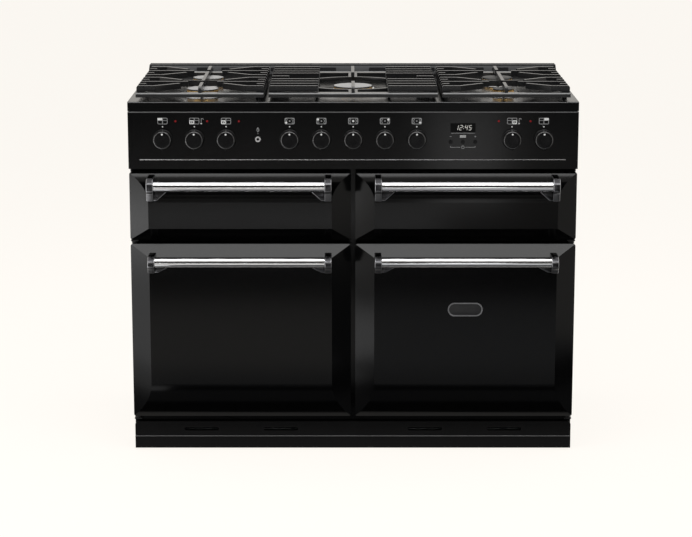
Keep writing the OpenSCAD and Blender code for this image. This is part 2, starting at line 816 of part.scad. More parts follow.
// Inner door of an upper door, with the bearings of its level hinge pins
module upper_inner()
    color("#303236")
    difference() {
        union() {
            along_y(door_t - inner_t, door_t)
                translate([0, top_door_h / 2])
                    round_rect(door_w - 2 * skin_t, top_door_h - 2 * skin_t, door_corner_r);
            for (t = [-1, 1], c = [-1, 1])
                translate([t * tongue_x + c * (tongue_w / 2 + 1 + drop_bearing_w / 2), 0, 0]) {
                    rod_x(14, -drop_bearing_w / 2, drop_bearing_w / 2, top_pivot_back, top_pivot_rise);
                    slab(-drop_bearing_w / 2, drop_bearing_w / 2, top_pivot_back, door_t - inner_t,
                        top_pivot_rise - 6, top_pivot_rise + 7);
                }
        }
        for (t = [-1, 1])
            rod_x(drop_pin_d + 2 * run_fit, t * tongue_x - 30, t * tongue_x + 30,
                top_pivot_back, top_pivot_rise);
        drop_relief();
        tongue_notch(tongue_w + 2);
    }

// Inner door of a lower door, with the bearings of its upright hinge pins
module lower_inner(side)
    color("#303236") {
        px = side * (door_w / 2 - low_pivot_in);
        difference() {
            union() {
                along_y(door_t - inner_t, door_t)
                    translate([0, low_door_h / 2])
                        round_rect(door_w - 2 * skin_t, low_door_h - 2 * skin_t, door_corner_r);
                for (z = [low_bearing_in, low_door_h - low_bearing_in - low_bearing_h]) {
                    rod_z(14, px, low_pivot_back, z, z + low_bearing_h);
                    slab(px - 6, px + 6, low_pivot_back, door_t - inner_t, z, z + low_bearing_h);
                }
            }
            rod_z(door_pin_d + 2 * run_fit, px, low_pivot_back, -eps, low_door_h + eps);
        }
    }

// Bar handle between two cast brackets, in a door's own place
module door_handle(z, rise, drop) {
    bar_x = handle_l / 2 - bracket_w;
    r = handle_d / 2;
    tip = handle_front;
    color("silver") {
        rod_x(handle_d, -bar_x + run_fit, bar_x - run_fit, -handle_reach, z);
        rod_x(spigot_d, -bar_x - spigot_l, bar_x + spigot_l, -handle_reach, z);
    }
    color("gray")
    difference() {
        both_sides() {
            // Head round the bar's end, and the leg that runs down and back to the door
            along_x(bar_x, handle_l / 2) {
                polygon([[-tip, z - 6], [-handle_reach - 2, z - drop], [bevel_d, z - drop],
                    [bevel_d, z + rise], [-handle_reach, z + rise], [-tip + 5, z + rise - 5],
                    [-tip, z + rise - 12]]);
                translate([-tip + 12, z - 6]) circle(12);
            }
            along_y(-handle_reach + 2, -handle_reach + 8)
                polygon([[bar_x, z], [bar_x - gusset_w, z], [bar_x - gusset_w, z - r - 1],
                    [bar_x - 8, z - drop], [bar_x, z - drop]]);
        }
        rod_x(handle_d + 2 * run_fit, -bar_x, bar_x, -handle_reach, z);
        rod_x(spigot_d + 2 * run_fit, -bar_x - spigot_l - run_fit, bar_x + spigot_l + run_fit,
            -handle_reach, z);
    }
}

module upper_handle()
    difference() {
        door_handle(top_door_h - handle_drop_top, 20, 36);
        upper_block(door_w, top_door_h);
    }
module lower_handle()
    difference() {
        door_handle(low_door_h - handle_drop_low, 14.5, 26.6);
        lower_block(door_w, low_door_h);
    }

module at_upper(side) translate([side * door_x, y_face, z_top]) children();
module at_lower(side) translate([side * door_x, y_face, z_low]) children();

module grill_door_skin() at_upper(-1) upper_skin();
module grill_door_inner() at_upper(-1) upper_inner();
module grill_door_handle() at_upper(-1) upper_handle();
module top_door_skin() at_upper(1) upper_skin();
module top_door_inner() at_upper(1) upper_inner();
module top_door_handle() at_upper(1) upper_handle();
module left_door_skin() at_lower(-1) lower_skin(-1);
module left_door_inner() at_lower(-1) lower_inner(-1);
module left_door_handle() at_lower(-1) lower_handle();
module right_door_skin() at_lower(1) lower_skin(1);
module right_door_inner() at_lower(1) lower_inner(1);
module right_door_handle() at_lower(1) lower_handle();

// Hollow turned knob on a steel spindle
module knob(place) {
    x = knob_places[place - 1] * knob_pitch;
    r = knob_d / 2;
    f = knob_face_d / 2;
    hub = spindle_d / 2 + 4;
    color("black")
    translate([x, y_panel - knob_gap, z_knob])
        rotate([90, 0, 0]) {
            difference() {
                union() {
                    rotate_extrude()
                        polygon([[hub - 1, knob_h - 4], [r - 4, knob_h - 4], [r - 4, 0], [r - 1, 0],
                            [r, 1], [r, 5], [r - 1.2, 7], [f + 0.6, knob_h - knob_gap - 2],
                            [f, knob_h - knob_gap - 0.6], [f - 1.4, knob_h - knob_gap],
                            [0, knob_h - knob_gap], [0, knob_h - 4]]);
                    cylinder(r = hub, h = knob_h - 3);
                    // Grip nub under the knob
                    translate([0, -r + 3, 1]) cylinder(d = nub_d, h = knob_h - 8);
                }
                translate([0, 0, -eps]) cylinder(d = spindle_d + 2 * push_fit, h = knob_h - 6 + eps);
            }
        }
    color("silver")
    rod_y(spindle_d, x, y_panel - knob_gap - knob_h + 6 + push_fit, tap_y + tap_l - spindle_in - 1, z_knob);
}
module knob_1() knob(1);
module knob_2() knob(2);
module knob_3() knob(3);
module knob_4() knob(4);
module knob_5() knob(5);
module knob_6() knob(6);
module knob_7() knob(7);
module knob_8() knob(8);
module knob_9() knob(9);
module knob_10() knob(10);

// Push button: proud cap, stem, and a collar behind the panel
module push_button(x, z, d, proud, travel) {
    back = switch_y - travel - seat;
    rod_y(d, x, y_panel - proud, y_panel + panel_skin + 1.5, z);
    rod_y(d + 4, x, y_panel + panel_skin + 0.6, y_panel + panel_skin + 2.6, z);
    rod_y(d / 2, x, y_panel + panel_skin + 1, back, z);
}
module igniter_button() color("silver") push_button(igniter_x, z_knob, igniter_d, 4, 2);
module timer_button(k) color("black") push_button(clock_x + k * timer_pitch, z_timer, timer_d, 1.6, 1.2);
module timer_button_1() timer_button(-1);
module timer_button_2() timer_button(0);
module timer_button_3() timer_button(1);

// Cast bar from one point to another, seen from above
module cast_bar(p, q, low, high) {
    dx = q[0] - p[0];
    dy = q[1] - p[1];
    l = sqrt(dx * dx + dy * dy);
    translate([p[0], p[1], 0]) rotate(atan2(dy, dx))
        translate([0, -bar_t / 2, low]) cube([l, bar_t, high - low]);
}

// Bar that stands on the frame at its outer end and thins towards its tip
module finger(p, q) {
    dx = q[0] - p[0];
    dy = q[1] - p[1];
    l = sqrt(dx * dx + dy * dy);
    translate([p[0], p[1], 0]) rotate(atan2(dy, dx))
        translate([0, bar_t / 2, 0]) rotate([90, 0, 0]) linear_extrude(bar_t)
            polygon([[0, frame_low], [0, rest_h - 4], [2.5, rest_h], [l, rest_h], [l, bar_low],
                [min(22, l / 2), bar_low], [min(14, l / 3), frame_low]]);
}

// Frame, ledge bars and feet that every pan support has
module support_frame(w) {
    x = w / 2;
    for (s = [-1, 1]) {
        slab(min(s * x, s * (x - bar_t)), max(s * x, s * (x - bar_t)), support_front, support_back,
            frame_low, frame_top);
        for (y = [support_front + 12, support_back - 12])
            rod_z(12, s * (x - 14), y, 0, frame_low + 1);
    }
    slab(-x, x, support_front, support_front + 28, frame_low, frame_top);
    slab(-x, x, support_back - 28, support_back, frame_low, frame_top);
}

// Fingers round one burner place of a side support
module burner_cell(w, y) {
    x = w / 2;
    knee = 110;
    tip_x = 54;
    tip_y = row_step - 7;
    for (s = [-1, 1]) {
        finger([s * x, y], [s * 36, y]);
        for (v = [-1, 1]) {
            finger([s * x, y + v * row_step], [s * (x - 20), y + v * row_step]);
            finger([s * x, y + v * 2 * row_step], [s * knee, y + v * 2 * row_step]);
            cast_bar([s * (knee + 2), y + v * 2 * row_step], [s * tip_x, y + v * tip_y], bar_low - 1, rest_h);
        }
    }
}

module side_support(side)
    color("#202020")
    translate([side * side_support_x, y_panel, z_hob]) {
        w = side_support_w;
        support_frame(w);
        burner_cell(w, burner_y1);
        burner_cell(w, burner_y2);
        // Middle bars that run front to back, open over each burner
        finger([0, support_front + 6], [0, burner_y1 - bar_gap]);
        cast_bar([0, burner_y1 + bar_gap], [0, burner_y2 - bar_gap], bar_low, rest_h);
        finger([0, support_back - 6], [0, burner_y2 + bar_gap]);
        mid_y = (burner_y1 + burner_y2) / 2;
        cast_bar([-w / 2, mid_y], [w / 2, mid_y], frame_low, bar_low + 2);
    }
module pan_support_left() side_support(-1);
module pan_support_right() side_support(1);

module pan_support_mid()
    color("#202020")
    translate([0, y_panel, z_hob]) {
        w = support_mid_w;
        cell_x = 86;
        web_x = 11;
        mid_y = (support_front + support_back) / 2;
        support_frame(w);
        for (s = [-1, 1]) {
            slab(min(s * cell_x, s * (cell_x + bar_t)), max(s * cell_x, s * (cell_x + bar_t)),
                support_front + 10, support_back - 10, frame_low, frame_top);
            for (e = [-1, 1], r = mid_rows) finger([s * w / 2, mid_y + e * r], [s * cell_x, mid_y + e * r]);
            finger([s * w / 2, mid_y], [s * (w / 2 - 45), mid_y]);
        }
        // Ring round the large burner
        intersection() {
            translate([0, ring_y, frame_low])
                difference() {
                    cylinder(r = ring_r, h = frame_top - frame_low, $fn = fine);
                    translate([0, 0, -eps]) cylinder(r = ring_r - bar_t, h = frame_top, $fn = fine);
                }
            slab(-cell_x - 1, cell_x + 1, 0, support_back, 0, rest_h);
        }
        // Webs that tie the ring to the front and back rails, and the fingers over them
        slab(-web_x, web_x, support_front + 20, ring_y - ring_r + 4, frame_low, frame_top);
        slab(-web_x, web_x, ring_y + ring_r - 4, support_back - 20, frame_low, frame_top);
        finger([0, support_front + 6], [0, ring_y - 92]);
        finger([0, support_back - 6], [0, ring_y + 92]);
    }

// Levelling foot: pad and stud
module foot(side)
    color("dimgray") {
        translate([side * runner_x, foot_y, 0])
            rotate_extrude() polygon([[0, 0], [foot_d / 2 - 1, 0], [foot_d / 2, 1], [foot_d / 2, 5],
                [stud_d / 2 + 4, 10], [0, 10]]);
        rod_z(stud_d, side * runner_x, foot_y, 9, 10 + foot_travel + base_z);
    }
module foot_left() foot(-1);
module foot_right() foot(1);

module roller(side)
    color("dimgray")
    translate([side * runner_x, roller_y, roller_d / 2])
        rotate([0, 90, 0])
            difference() {
                cylinder(d = roller_d, h = roller_w, center = true);
                cylinder(d = axle_d + 2 * run_fit, h = roller_w + 1, center = true);
            }
module roller_left() roller(-1);
module roller_right() roller(1);

// Fan wheel with its shaft
module fan(side)
    color("silver")
    translate([side * door_x, 0, fan_z]) {
        y0 = fan_cover_y + 6;
        y1 = liner_back - element_d - 4;
        rod_y(20, 0, y0, y1, 0);
        rod_y(fan_d, 0, y1 - 1.5, y1, 0);
        for (k = [0 : 11])
            rotate([0, k * 30, 0]) slab(fan_d / 2 - 30, fan_d / 2 - 4, y0 + 2, y1 - 1, -0.8, 0.8);
        rod_y(shaft_d, 0, y1 - 1, motor_y + motor_l - 22, 0);
    }
module fan_left() fan(-1);
module fan_right() fan(1);

side_panels();
back_panel();
base_frame();
front_frame();
plinth();
control_panel();
clock_window();
control_rail();
control_bodies();
gas_pipes();
hob_tray();
rear_ledge();
burner_bases();
burner_heads();
burner_caps();
grill_liner();
top_oven_liner();
main_oven_liners();
door_seals();
oven_shelves();
grill_pan();
heating_elements();
fan_covers();
fan_motors();
door_hinges();
grill_door_skin();
grill_door_inner();
grill_door_handle();
top_door_skin();
top_door_inner();
top_door_handle();
left_door_skin();
left_door_inner();
left_door_handle();
right_door_skin();
right_door_inner();
right_door_handle();
knob_1();
knob_2();
knob_3();
knob_4();
knob_5();
knob_6();
knob_7();
knob_8();
knob_9();
knob_10();
igniter_button();
timer_button_1();
timer_button_2();
timer_button_3();
pan_support_left();
pan_support_mid();
pan_support_right();
foot_left();
foot_right();
roller_left();
roller_right();
fan_left();
fan_right();
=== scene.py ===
import math
import bmesh
import bpy
from mathutils import Matrix, Vector


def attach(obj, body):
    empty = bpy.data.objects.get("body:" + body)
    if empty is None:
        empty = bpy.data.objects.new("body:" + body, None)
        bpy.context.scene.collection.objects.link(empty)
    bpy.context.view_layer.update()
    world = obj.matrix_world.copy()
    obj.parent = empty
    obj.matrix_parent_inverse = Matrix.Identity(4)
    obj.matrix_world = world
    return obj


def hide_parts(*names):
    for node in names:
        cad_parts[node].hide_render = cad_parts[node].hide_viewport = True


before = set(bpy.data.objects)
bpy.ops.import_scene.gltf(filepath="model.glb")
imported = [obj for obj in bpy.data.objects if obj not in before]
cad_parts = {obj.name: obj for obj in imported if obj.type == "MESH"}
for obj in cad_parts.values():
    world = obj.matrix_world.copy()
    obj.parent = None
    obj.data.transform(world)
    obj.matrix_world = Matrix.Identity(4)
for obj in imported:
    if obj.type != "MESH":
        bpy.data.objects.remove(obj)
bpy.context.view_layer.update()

# Lengths of the object are in millimetres up to the moment a mesh is made
MM = 0.001
ROOT = "root"

# Camera: straight in front, looking slightly down, with the photograph's proportions
SENSOR_W = 36.0
LENS = 112.06
FAR_CLIP = 100.0
CAMERA_AT = (-0.0175, -5.4725, 1.577)
CAMERA_TILT = 78.05
camera_data = bpy.data.cameras.new("camera")
camera_data.sensor_width = SENSOR_W
camera_data.lens = LENS
camera_data.clip_end = FAR_CLIP
camera = bpy.data.objects.new("camera", camera_data)
camera.location = CAMERA_AT
camera.rotation_euler = (math.radians(CAMERA_TILT), 0.0, 0.0)
bpy.context.collection.objects.link(camera)
bpy.context.scene.camera = camera
bpy.context.scene.view_settings.view_transform = "Standard"

# Named places, as in the part's source
Y_BACK = 327.5
Y_PANEL = -260.5
Y_FACE = -272.5
Y_DOOR_BACK = -222.5
Y_LINER = -204.5
LINER_BACK = 195.5
Z_LOW = 93.0
Z_TOP = 545.0
Z_PANEL_TOP = 864.0
Z_HOB = 888.0
Z_KNOB = 797.0
Z_CLOCK = 825.0
CLOCK_X = 268.0
DOOR_X = 277.75
DOOR_W = 544.5
TOP_H = 168.0
LOW_H = 441.0
LOW_CAVITY_Z = 135.0
TOP_CAVITY_Z = 590.0
CAVITY_W = 430.0
# The shelf ledges' heights over a cavity's floor
TOP_LEDGE = 41.3
LOW_LEDGES = (95.3, 215.3)
KNOB_X = [-465.0, -387.5, -310.0, -155.0, -77.5, 0.0, 77.5, 155.0, 387.5, 465.0]
IGNITER_X = -232.5
Y_PLINTH = -231.0
SUPPORT_X = 373.75
SUPPORT_W = 312.5
SUPPORT_MID_W = 413.0
# Each burner's x, distance behind the panel, cap width and flange height
BURNERS = [(-373.75, 120.0, 79.0, 8.0), (-373.75, 348.0, 79.0, 8.0), (0.0, 219.0, 97.0, 3.0),
           (373.75, 348.0, 79.0, 8.0), (373.75, 120.0, 55.0, 8.0)]
# Each door's name, centre, lower edge and height
DOORS = [("grill_door", -DOOR_X, Z_TOP, TOP_H), ("top_door", DOOR_X, Z_TOP, TOP_H),
         ("left_door", -DOOR_X, Z_LOW, LOW_H), ("right_door", DOOR_X, Z_LOW, LOW_H)]


# Materials

def to_range(mat, source, low, high):
    """Stretches a texture's output between two values and gives the socket."""
    span = mat.node_tree.nodes.new("ShaderNodeMapRange")
    span.inputs["To Min"].default_value = low
    span.inputs["To Max"].default_value = high
    mat.node_tree.links.new(source, span.inputs["Value"])
    return span.outputs["Result"]


def surface(name, colour, rough, metal=0.0, specular=0.5, spread=0.15, rough_spread=0.06,
            patch=30.0, grain=300.0, bump=0.1, depth=0.0002, stretch=(1.0, 1.0, 1.0), glow=0.0):
    """Principled material whose colour, roughness and relief vary with noise over the object."""
    mat = bpy.data.materials.new(name)
    mat.use_nodes = True
    nodes = mat.node_tree.nodes
    links = mat.node_tree.links
    shader = nodes["Principled BSDF"]
    shader.inputs["Metallic"].default_value = metal
    shader.inputs["Specular IOR Level"].default_value = specular
    place = nodes.new("ShaderNodeTexCoord")
    scale = nodes.new("ShaderNodeMapping")
    scale.inputs["Scale"].default_value = stretch
    links.new(place.outputs["Object"], scale.inputs["Vector"])
    broad = nodes.new("ShaderNodeTexNoise")
    broad.inputs["Scale"].default_value = patch
    broad.inputs["Detail"].default_value = 4.0
    links.new(scale.outputs["Vector"], broad.inputs["Vector"])
    mix = nodes.new("ShaderNodeMix")
    mix.data_type = "RGBA"
    mix.inputs[6].default_value = tuple(c * (1.0 - spread) for c in colour) + (1.0,)
    mix.inputs[7].default_value = tuple(min(1.0, c * (1.0 + spread)) for c in colour) + (1.0,)
    links.new(broad.outputs["Fac"], mix.inputs[0])
    links.new(mix.outputs[2], shader.inputs["Base Color"])
    fine = nodes.new("ShaderNodeTexNoise")
    fine.inputs["Scale"].default_value = grain
    fine.inputs["Detail"].default_value = 3.0
    links.new(scale.outputs["Vector"], fine.inputs["Vector"])
    links.new(to_range(mat, fine.outputs["Fac"], max(0.02, rough - rough_spread), rough + rough_spread),
              shader.inputs["Roughness"])
    relief = nodes.new("ShaderNodeBump")
    relief.inputs["Strength"].default_value = bump
    relief.inputs["Distance"].default_value = depth
    links.new(fine.outputs["Fac"], relief.inputs["Height"])
    links.new(relief.outputs["Normal"], shader.inputs["Normal"])
    if glow:
        shader.inputs["Emission Color"].default_value = colour + (1.0,)
        shader.inputs["Emission Strength"].default_value = glow
    return mat


def add_cells(mat, cell):
    """Voronoi cells of a size in metres, laid over the object."""
    place = mat.node_tree.nodes.new("ShaderNodeTexCoord")
    cells = mat.node_tree.nodes.new("ShaderNodeTexVoronoi")
    cells.inputs["Scale"].default_value = 1.0 / cell
    mat.node_tree.links.new(place.outputs["Object"], cells.inputs["Vector"])
    return cells


def spangled(name, colour, rough, cell):
    """Galvanised sheet: crystals that differ in brightness and in gloss."""
    mat = surface(name, colour, rough, metal=0.9, spread=0.08, patch=8.0, grain=500.0, bump=0.06)
    nodes = mat.node_tree.nodes
    links = mat.node_tree.links
    shader = nodes["Principled BSDF"]
    cells = add_cells(mat, cell)
    old = shader.inputs["Base Color"].links[0].from_socket
    times = nodes.new("ShaderNodeMix")
    times.data_type = "RGBA"
    times.blend_type = "MULTIPLY"
    times.inputs[0].default_value = 1.0
    links.new(old, times.inputs[6])
    links.new(to_range(mat, cells.outputs["Color"], 0.84, 1.08), times.inputs[7])
    links.new(times.outputs[2], shader.inputs["Base Color"])
    links.new(to_range(mat, cells.outputs["Color"], rough - 0.08, rough + 0.10), shader.inputs["Roughness"])
    return mat


def flecked(name, colour, fleck, rough, cell):
    """Oven enamel: dark glaze with small pale flecks."""
    mat = surface(name, colour, rough, specular=0.45, spread=0.2, patch=40.0, grain=260.0, bump=0.08)
    nodes = mat.node_tree.nodes
    links = mat.node_tree.links
    shader = nodes["Principled BSDF"]
    cells = add_cells(mat, cell)
    spot = nodes.new("ShaderNodeMapRange")
    spot.inputs["From Min"].default_value = 0.16
    spot.inputs["From Max"].default_value = 0.10
    links.new(cells.outputs["Distance"], spot.inputs["Value"])
    old = shader.inputs["Base Color"].links[0].from_socket
    mix = nodes.new("ShaderNodeMix")
    mix.data_type = "RGBA"
    links.new(spot.outputs["Result"], mix.inputs[0])
    links.new(old, mix.inputs[6])
    mix.inputs[7].default_value = fleck + (1.0,)
    links.new(mix.outputs[2], shader.inputs["Base Color"])
    return mat


def braided(name, colour, rough, pitch):
    """Woven glass-fibre rope: crossing waves lift the surface."""
    mat = surface(name, colour, rough, specular=0.3, spread=0.35, patch=250.0, grain=900.0, bump=0.4)
    nodes = mat.node_tree.nodes
    links = mat.node_tree.links
    shader = nodes["Principled BSDF"]
    place = nodes.new("ShaderNodeTexCoord")
    weave = nodes.new("ShaderNodeTexWave")
    weave.wave_type = "BANDS"
    weave.bands_direction = "DIAGONAL"
    weave.inputs["Scale"].default_value = 0.3 / pitch
    weave.inputs["Distortion"].default_value = 1.5
    links.new(place.outputs["Object"], weave.inputs["Vector"])
    relief = nodes.new("ShaderNodeBump")
    relief.inputs["Strength"].default_value = 0.8
    relief.inputs["Distance"].default_value = 0.0008
    links.new(weave.outputs["Fac"], relief.inputs["Height"])
    links.new(relief.outputs["Normal"], shader.inputs["Normal"])
    return mat


BRUSH_X = (0.04, 1.0, 1.0)
LOOKS = {
    "black_enamel": surface("black_enamel", (0.0009, 0.0009, 0.0010), 0.14, specular=0.14, spread=0.2,
                            rough_spread=0.03, patch=14.0, grain=240.0, bump=0.03, depth=0.0003),
    "casing_paint": surface("casing_paint", (0.010, 0.010, 0.011), 0.42, specular=0.3, grain=1400.0,
                            bump=0.18, depth=0.0002),
    "galvanised_sheet": spangled("galvanised_sheet", (0.40, 0.41, 0.42), 0.42, 0.006),
    "oven_enamel": flecked("oven_enamel", (0.016, 0.018, 0.024), (0.22, 0.23, 0.26), 0.24, 0.006),
    "chrome": surface("chrome", (0.62, 0.62, 0.63), 0.11, metal=1.0, spread=0.05, rough_spread=0.015,
                      patch=60.0, grain=900.0, bump=0.01, depth=0.00003, stretch=BRUSH_X),
    "hinge_steel": surface("hinge_steel", (0.40, 0.39, 0.37), 0.36, metal=1.0, spread=0.12, grain=500.0),
    "cast_iron": surface("cast_iron", (0.0080, 0.0080, 0.0084), 0.30, specular=0.34, spread=0.35, patch=90.0,
                         grain=520.0, rough_spread=0.08, bump=0.30, depth=0.0003),
    "cap_enamel": surface("cap_enamel", (0.21, 0.21, 0.21), 0.36, specular=0.4, spread=0.08, patch=60.0,
                          grain=420.0, bump=0.08, depth=0.0002),
    "brass": surface("brass", (0.80, 0.53, 0.19), 0.27, metal=1.0, spread=0.14, patch=80.0, grain=600.0,
                     bump=0.12),
    "cast_aluminium": surface("cast_aluminium", (0.24, 0.24, 0.25), 0.36, metal=1.0, spread=0.10,
                              patch=70.0, grain=650.0, bump=0.30, depth=0.0003),
    "heater_sheath": surface("heater_sheath", (0.05, 0.045, 0.042), 0.48, metal=0.7, spread=0.35,
                             patch=35.0, grain=700.0, bump=0.2),
    "oven_seal": braided("oven_seal", (0.055, 0.055, 0.058), 0.85, 0.003),
    "display_glass": surface("display_glass", (0.0016, 0.0016, 0.0018), 0.06, specular=0.16, spread=0.1,
                             rough_spread=0.02, grain=120.0, bump=0.01),
    "knob_black": surface("knob_black", (0.0022, 0.0022, 0.0024), 0.26, specular=0.12, spread=0.2,
                          patch=60.0, grain=900.0, bump=0.08, depth=0.0001),
    "control_plastic": surface("control_plastic", (0.34, 0.32, 0.27), 0.5, specular=0.4, spread=0.08,
                               grain=600.0),
    "black_plastic": surface("black_plastic", (0.009, 0.009, 0.010), 0.5, specular=0.35, spread=0.2,
                             grain=1100.0, bump=0.2),
}
PRINT_GREY = surface("print_grey", (0.18, 0.18, 0.18), 0.5, specular=0.3, spread=0.06, grain=900.0)
PRINT_WHITE = surface("print_white", (0.52, 0.52, 0.51), 0.5, specular=0.3, spread=0.04, grain=900.0)
INLAY = surface("inlay_silver", (0.50, 0.50, 0.51), 0.26, metal=1.0, spread=0.05, grain=900.0, bump=0.02,
                stretch=BRUSH_X)
LED_RED = surface("led_red", (0.11, 0.002, 0.003), 0.25, specular=0.2, spread=0.2, grain=400.0, glow=0.5)
KNOB_RIM = surface("knob_rim", (0.006, 0.006, 0.0063), 0.24, specular=0.9, spread=0.2, patch=60.0,
                   grain=900.0, bump=0.05, depth=0.0001)
DIGIT_WHITE = surface("digit_white", (0.46, 0.45, 0.42), 0.4, spread=0.05, grain=400.0, glow=0.3)
# Three greys of the brackets' chrome: a dark painted reflection for the faces, a pale painted highlight for
# the edges, and a mid grey painted reflection for the faces that tilt down
CHROME_DARK_REFLECTION = surface("chrome_painted_dark_reflection", (0.030, 0.030, 0.032), 0.20, metal=1.0, spread=0.15, patch=60.0,
                      grain=800.0, bump=0.08, depth=0.0001)
CHROME_EDGE_HIGHLIGHT = surface("chrome_painted_edge_highlight", (0.24, 0.24, 0.25), 0.30, metal=1.0, spread=0.12, patch=60.0,
                      grain=800.0, bump=0.10, depth=0.0001)
CHROME_LOWER_REFLECTION = surface("chrome_painted_lower_reflection", (0.105, 0.105, 0.108), 0.34, metal=1.0, spread=0.12, patch=60.0,
                       grain=800.0, bump=0.12, depth=0.0001)
CERAMIC = surface("ceramic", (0.62, 0.61, 0.58), 0.35, spread=0.06, grain=500.0)
ZINC = surface("zinc_screw", (0.30, 0.30, 0.31), 0.38, metal=1.0, spread=0.12, grain=700.0)


# Mesh making

AXES = {"x": lambda u, v, w: Vector((w, u, v)),
        "y": lambda u, v, w: Vector((u, w, v)),
        "z": lambda u, v, w: Vector((u, v, w))}
SHARP_ANGLE = 32.0
BEVEL_ANGLE = 25.0


def make(bm, name, mat, body, node=None):
    """Turns a bmesh in millimetres into a piece that rides on a body."""
    bmesh.ops.recalc_face_normals(bm, faces=bm.faces)
    bmesh.ops.scale(bm, vec=(MM, MM, MM), verts=bm.verts)
    mesh = bpy.data.meshes.new(name)
    bm.to_mesh(mesh)
    bm.free()
    for mat_one in (mat if isinstance(mat, (list, tuple)) else [mat]):
        mesh.materials.append(mat_one)
    mesh.polygons.foreach_set("use_smooth", [True] * len(mesh.polygons))
    mesh.set_sharp_from_angle(angle=math.radians(SHARP_ANGLE))
    obj = bpy.data.objects.new(name, mesh)
    bpy.context.collection.objects.link(obj)
    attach(obj, body)
    if node:
        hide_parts(*node)


def bevel_all(bm, faces, width, segments, tint):
    """Rounds the edges between the given faces that turn by more than BEVEL_ANGLE."""
    wanted = set(faces)
    edges = []
    for e in dict.fromkeys(e for f in faces for e in f.edges):
        if len(e.link_faces) == 2 and e.link_faces[0] in wanted and e.link_faces[1] in wanted:
            if e.calc_face_angle(0.0) > math.radians(BEVEL_ANGLE):
                edges.append(e)
    bmesh.ops.bevel(bm, geom=edges, offset=width, segments=segments, profile=0.5, affect="EDGES",
                    clamp_overlap=True, material=tint)


def prism(bm, outline, axis, a, b, bevel=0.0, segments=2, tint=-1):
    """Closed outline, extruded from a to b along an axis."""
    at = AXES[axis]
    low = [bm.verts.new(at(u, v, a)) for u, v in outline]
    high = [bm.verts.new(at(u, v, b)) for u, v in outline]
    n = len(outline)
    faces = [bm.faces.new(low), bm.faces.new(high[::-1])]
    faces += [bm.faces.new((low[i], high[i], high[(i + 1) % n], low[(i + 1) % n])) for i in range(n)]
    bmesh.ops.recalc_face_normals(bm, faces=faces)
    if bevel:
        bevel_all(bm, faces, bevel, segments, tint)


def block(bm, x0, x1, y0, y1, z0, z1, bevel=0.0, segments=2):
    prism(bm, [(x0, z0), (x1, z0), (x1, z1), (x0, z1)], "y", y0, y1, bevel, segments)


def ring(bm, outer, inner, axis, a, b):
    """Flat band between two outlines with the same number of points."""
    at = AXES[axis]
    rows = [[bm.verts.new(at(u, v, w)) for u, v in line]
            for line, w in ((outer, a), (outer, b), (inner, b), (inner, a))]
    n = len(outer)
    for k in range(4):
        one, two = rows[k], rows[(k + 1) % 4]
        for i in range(n):
            bm.faces.new((one[i], two[i], two[(i + 1) % n], one[(i + 1) % n]))


def rounded(cx, cz, w, h, r, steps=5):
    """Outline of a rectangle with round corners."""
    out = []
    for k, (sx, sz) in enumerate(((1, 1), (-1, 1), (-1, -1), (1, -1))):
        for i in range(steps + 1):
            a = math.radians(90.0 * k + 90.0 * i / steps)
            out.append((cx + sx * (w / 2 - r) + r * math.cos(a), cz + sz * (h / 2 - r) + r * math.sin(a)))
    return out


def circle(cx, cz, r, steps=24):
    return [(cx + r * math.cos(2 * math.pi * i / steps), cz + r * math.sin(2 * math.pi * i / steps))
            for i in range(steps)]


def lathe(bm, profile, origin, axis, steps=48, tinted=()):
    """Turned solid from a list of (radius, height); the tinted bands get the second material."""
    at = AXES[axis]
    base = Vector(origin)
    rows = []
    for r, h in profile:
        if r < 1e-6:
            rows.append([bm.verts.new(base + at(0.0, 0.0, h))])
        else:
            row = []
            for i in range(steps):
                a = 2 * math.pi * i / steps
                row.append(bm.verts.new(base + at(r * math.cos(a), r * math.sin(a), h)))
            rows.append(row)
    pairs = list(zip(rows, rows[1:]))
    if len(rows[0]) > 1 and len(rows[-1]) > 1:
        pairs.append((rows[-1], rows[0]))
    for band_index, (one, two) in enumerate(pairs):
        for i in range(steps):
            j = (i + 1) % steps
            if len(one) == 1:
                face = bm.faces.new((one[0], two[i], two[j]))
            elif len(two) == 1:
                face = bm.faces.new((one[i], two[0], one[j]))
            else:
                face = bm.faces.new((one[i], two[i], two[j], one[j]))
            if band_index in tinted:
                face.material_index = 1


def tube(bm, points, radius, sides=12, closed=False):
    """Round wire along a list of points."""
    pts = [Vector(p) for p in points]
    n = len(pts)
    rows = []
    side = None
    for i, p in enumerate(pts):
        if closed:
            tangent = (pts[(i + 1) % n] - pts[i - 1]).normalized()
        else:
            tangent = (pts[min(i + 1, n - 1)] - pts[max(i - 1, 0)]).normalized()
        if side is None:
            probe = Vector((0, 0, 1)) if abs(tangent.z) < 0.9 else Vector((1, 0, 0))
            side = tangent.cross(probe).normalized()
        side = (side - tangent * side.dot(tangent)).normalized()
        up = tangent.cross(side)
        rows.append([bm.verts.new(p + radius * (math.cos(2 * math.pi * k / sides) * side
                                                + math.sin(2 * math.pi * k / sides) * up))
                     for k in range(sides)])
    spans = n if closed else n - 1
    for i in range(spans):
        one, two = rows[i], rows[(i + 1) % n]
        for k in range(sides):
            j = (k + 1) % sides
            bm.faces.new((one[k], two[k], two[j], one[j]))
    if not closed:
        bm.faces.new(rows[0])
        bm.faces.new(rows[-1][::-1])


def bent(points, r, steps=5):
    """Polyline with its inner corners rounded to radius r."""
    pts = [Vector(p) for p in points]
    out = [pts[0]]
    for a, b, c in zip(pts, pts[1:], pts[2:]):
        d = min(r, (b - a).length * 0.45, (c - b).length * 0.45)
        p = b + (a - b).normalized() * d
        q = b + (c - b).normalized() * d
        for i in range(steps + 1):
            t = i / steps
            out.append(p * (1 - t) ** 2 + b * 2 * t * (1 - t) + q * t ** 2)
    out.append(pts[-1])
    return out
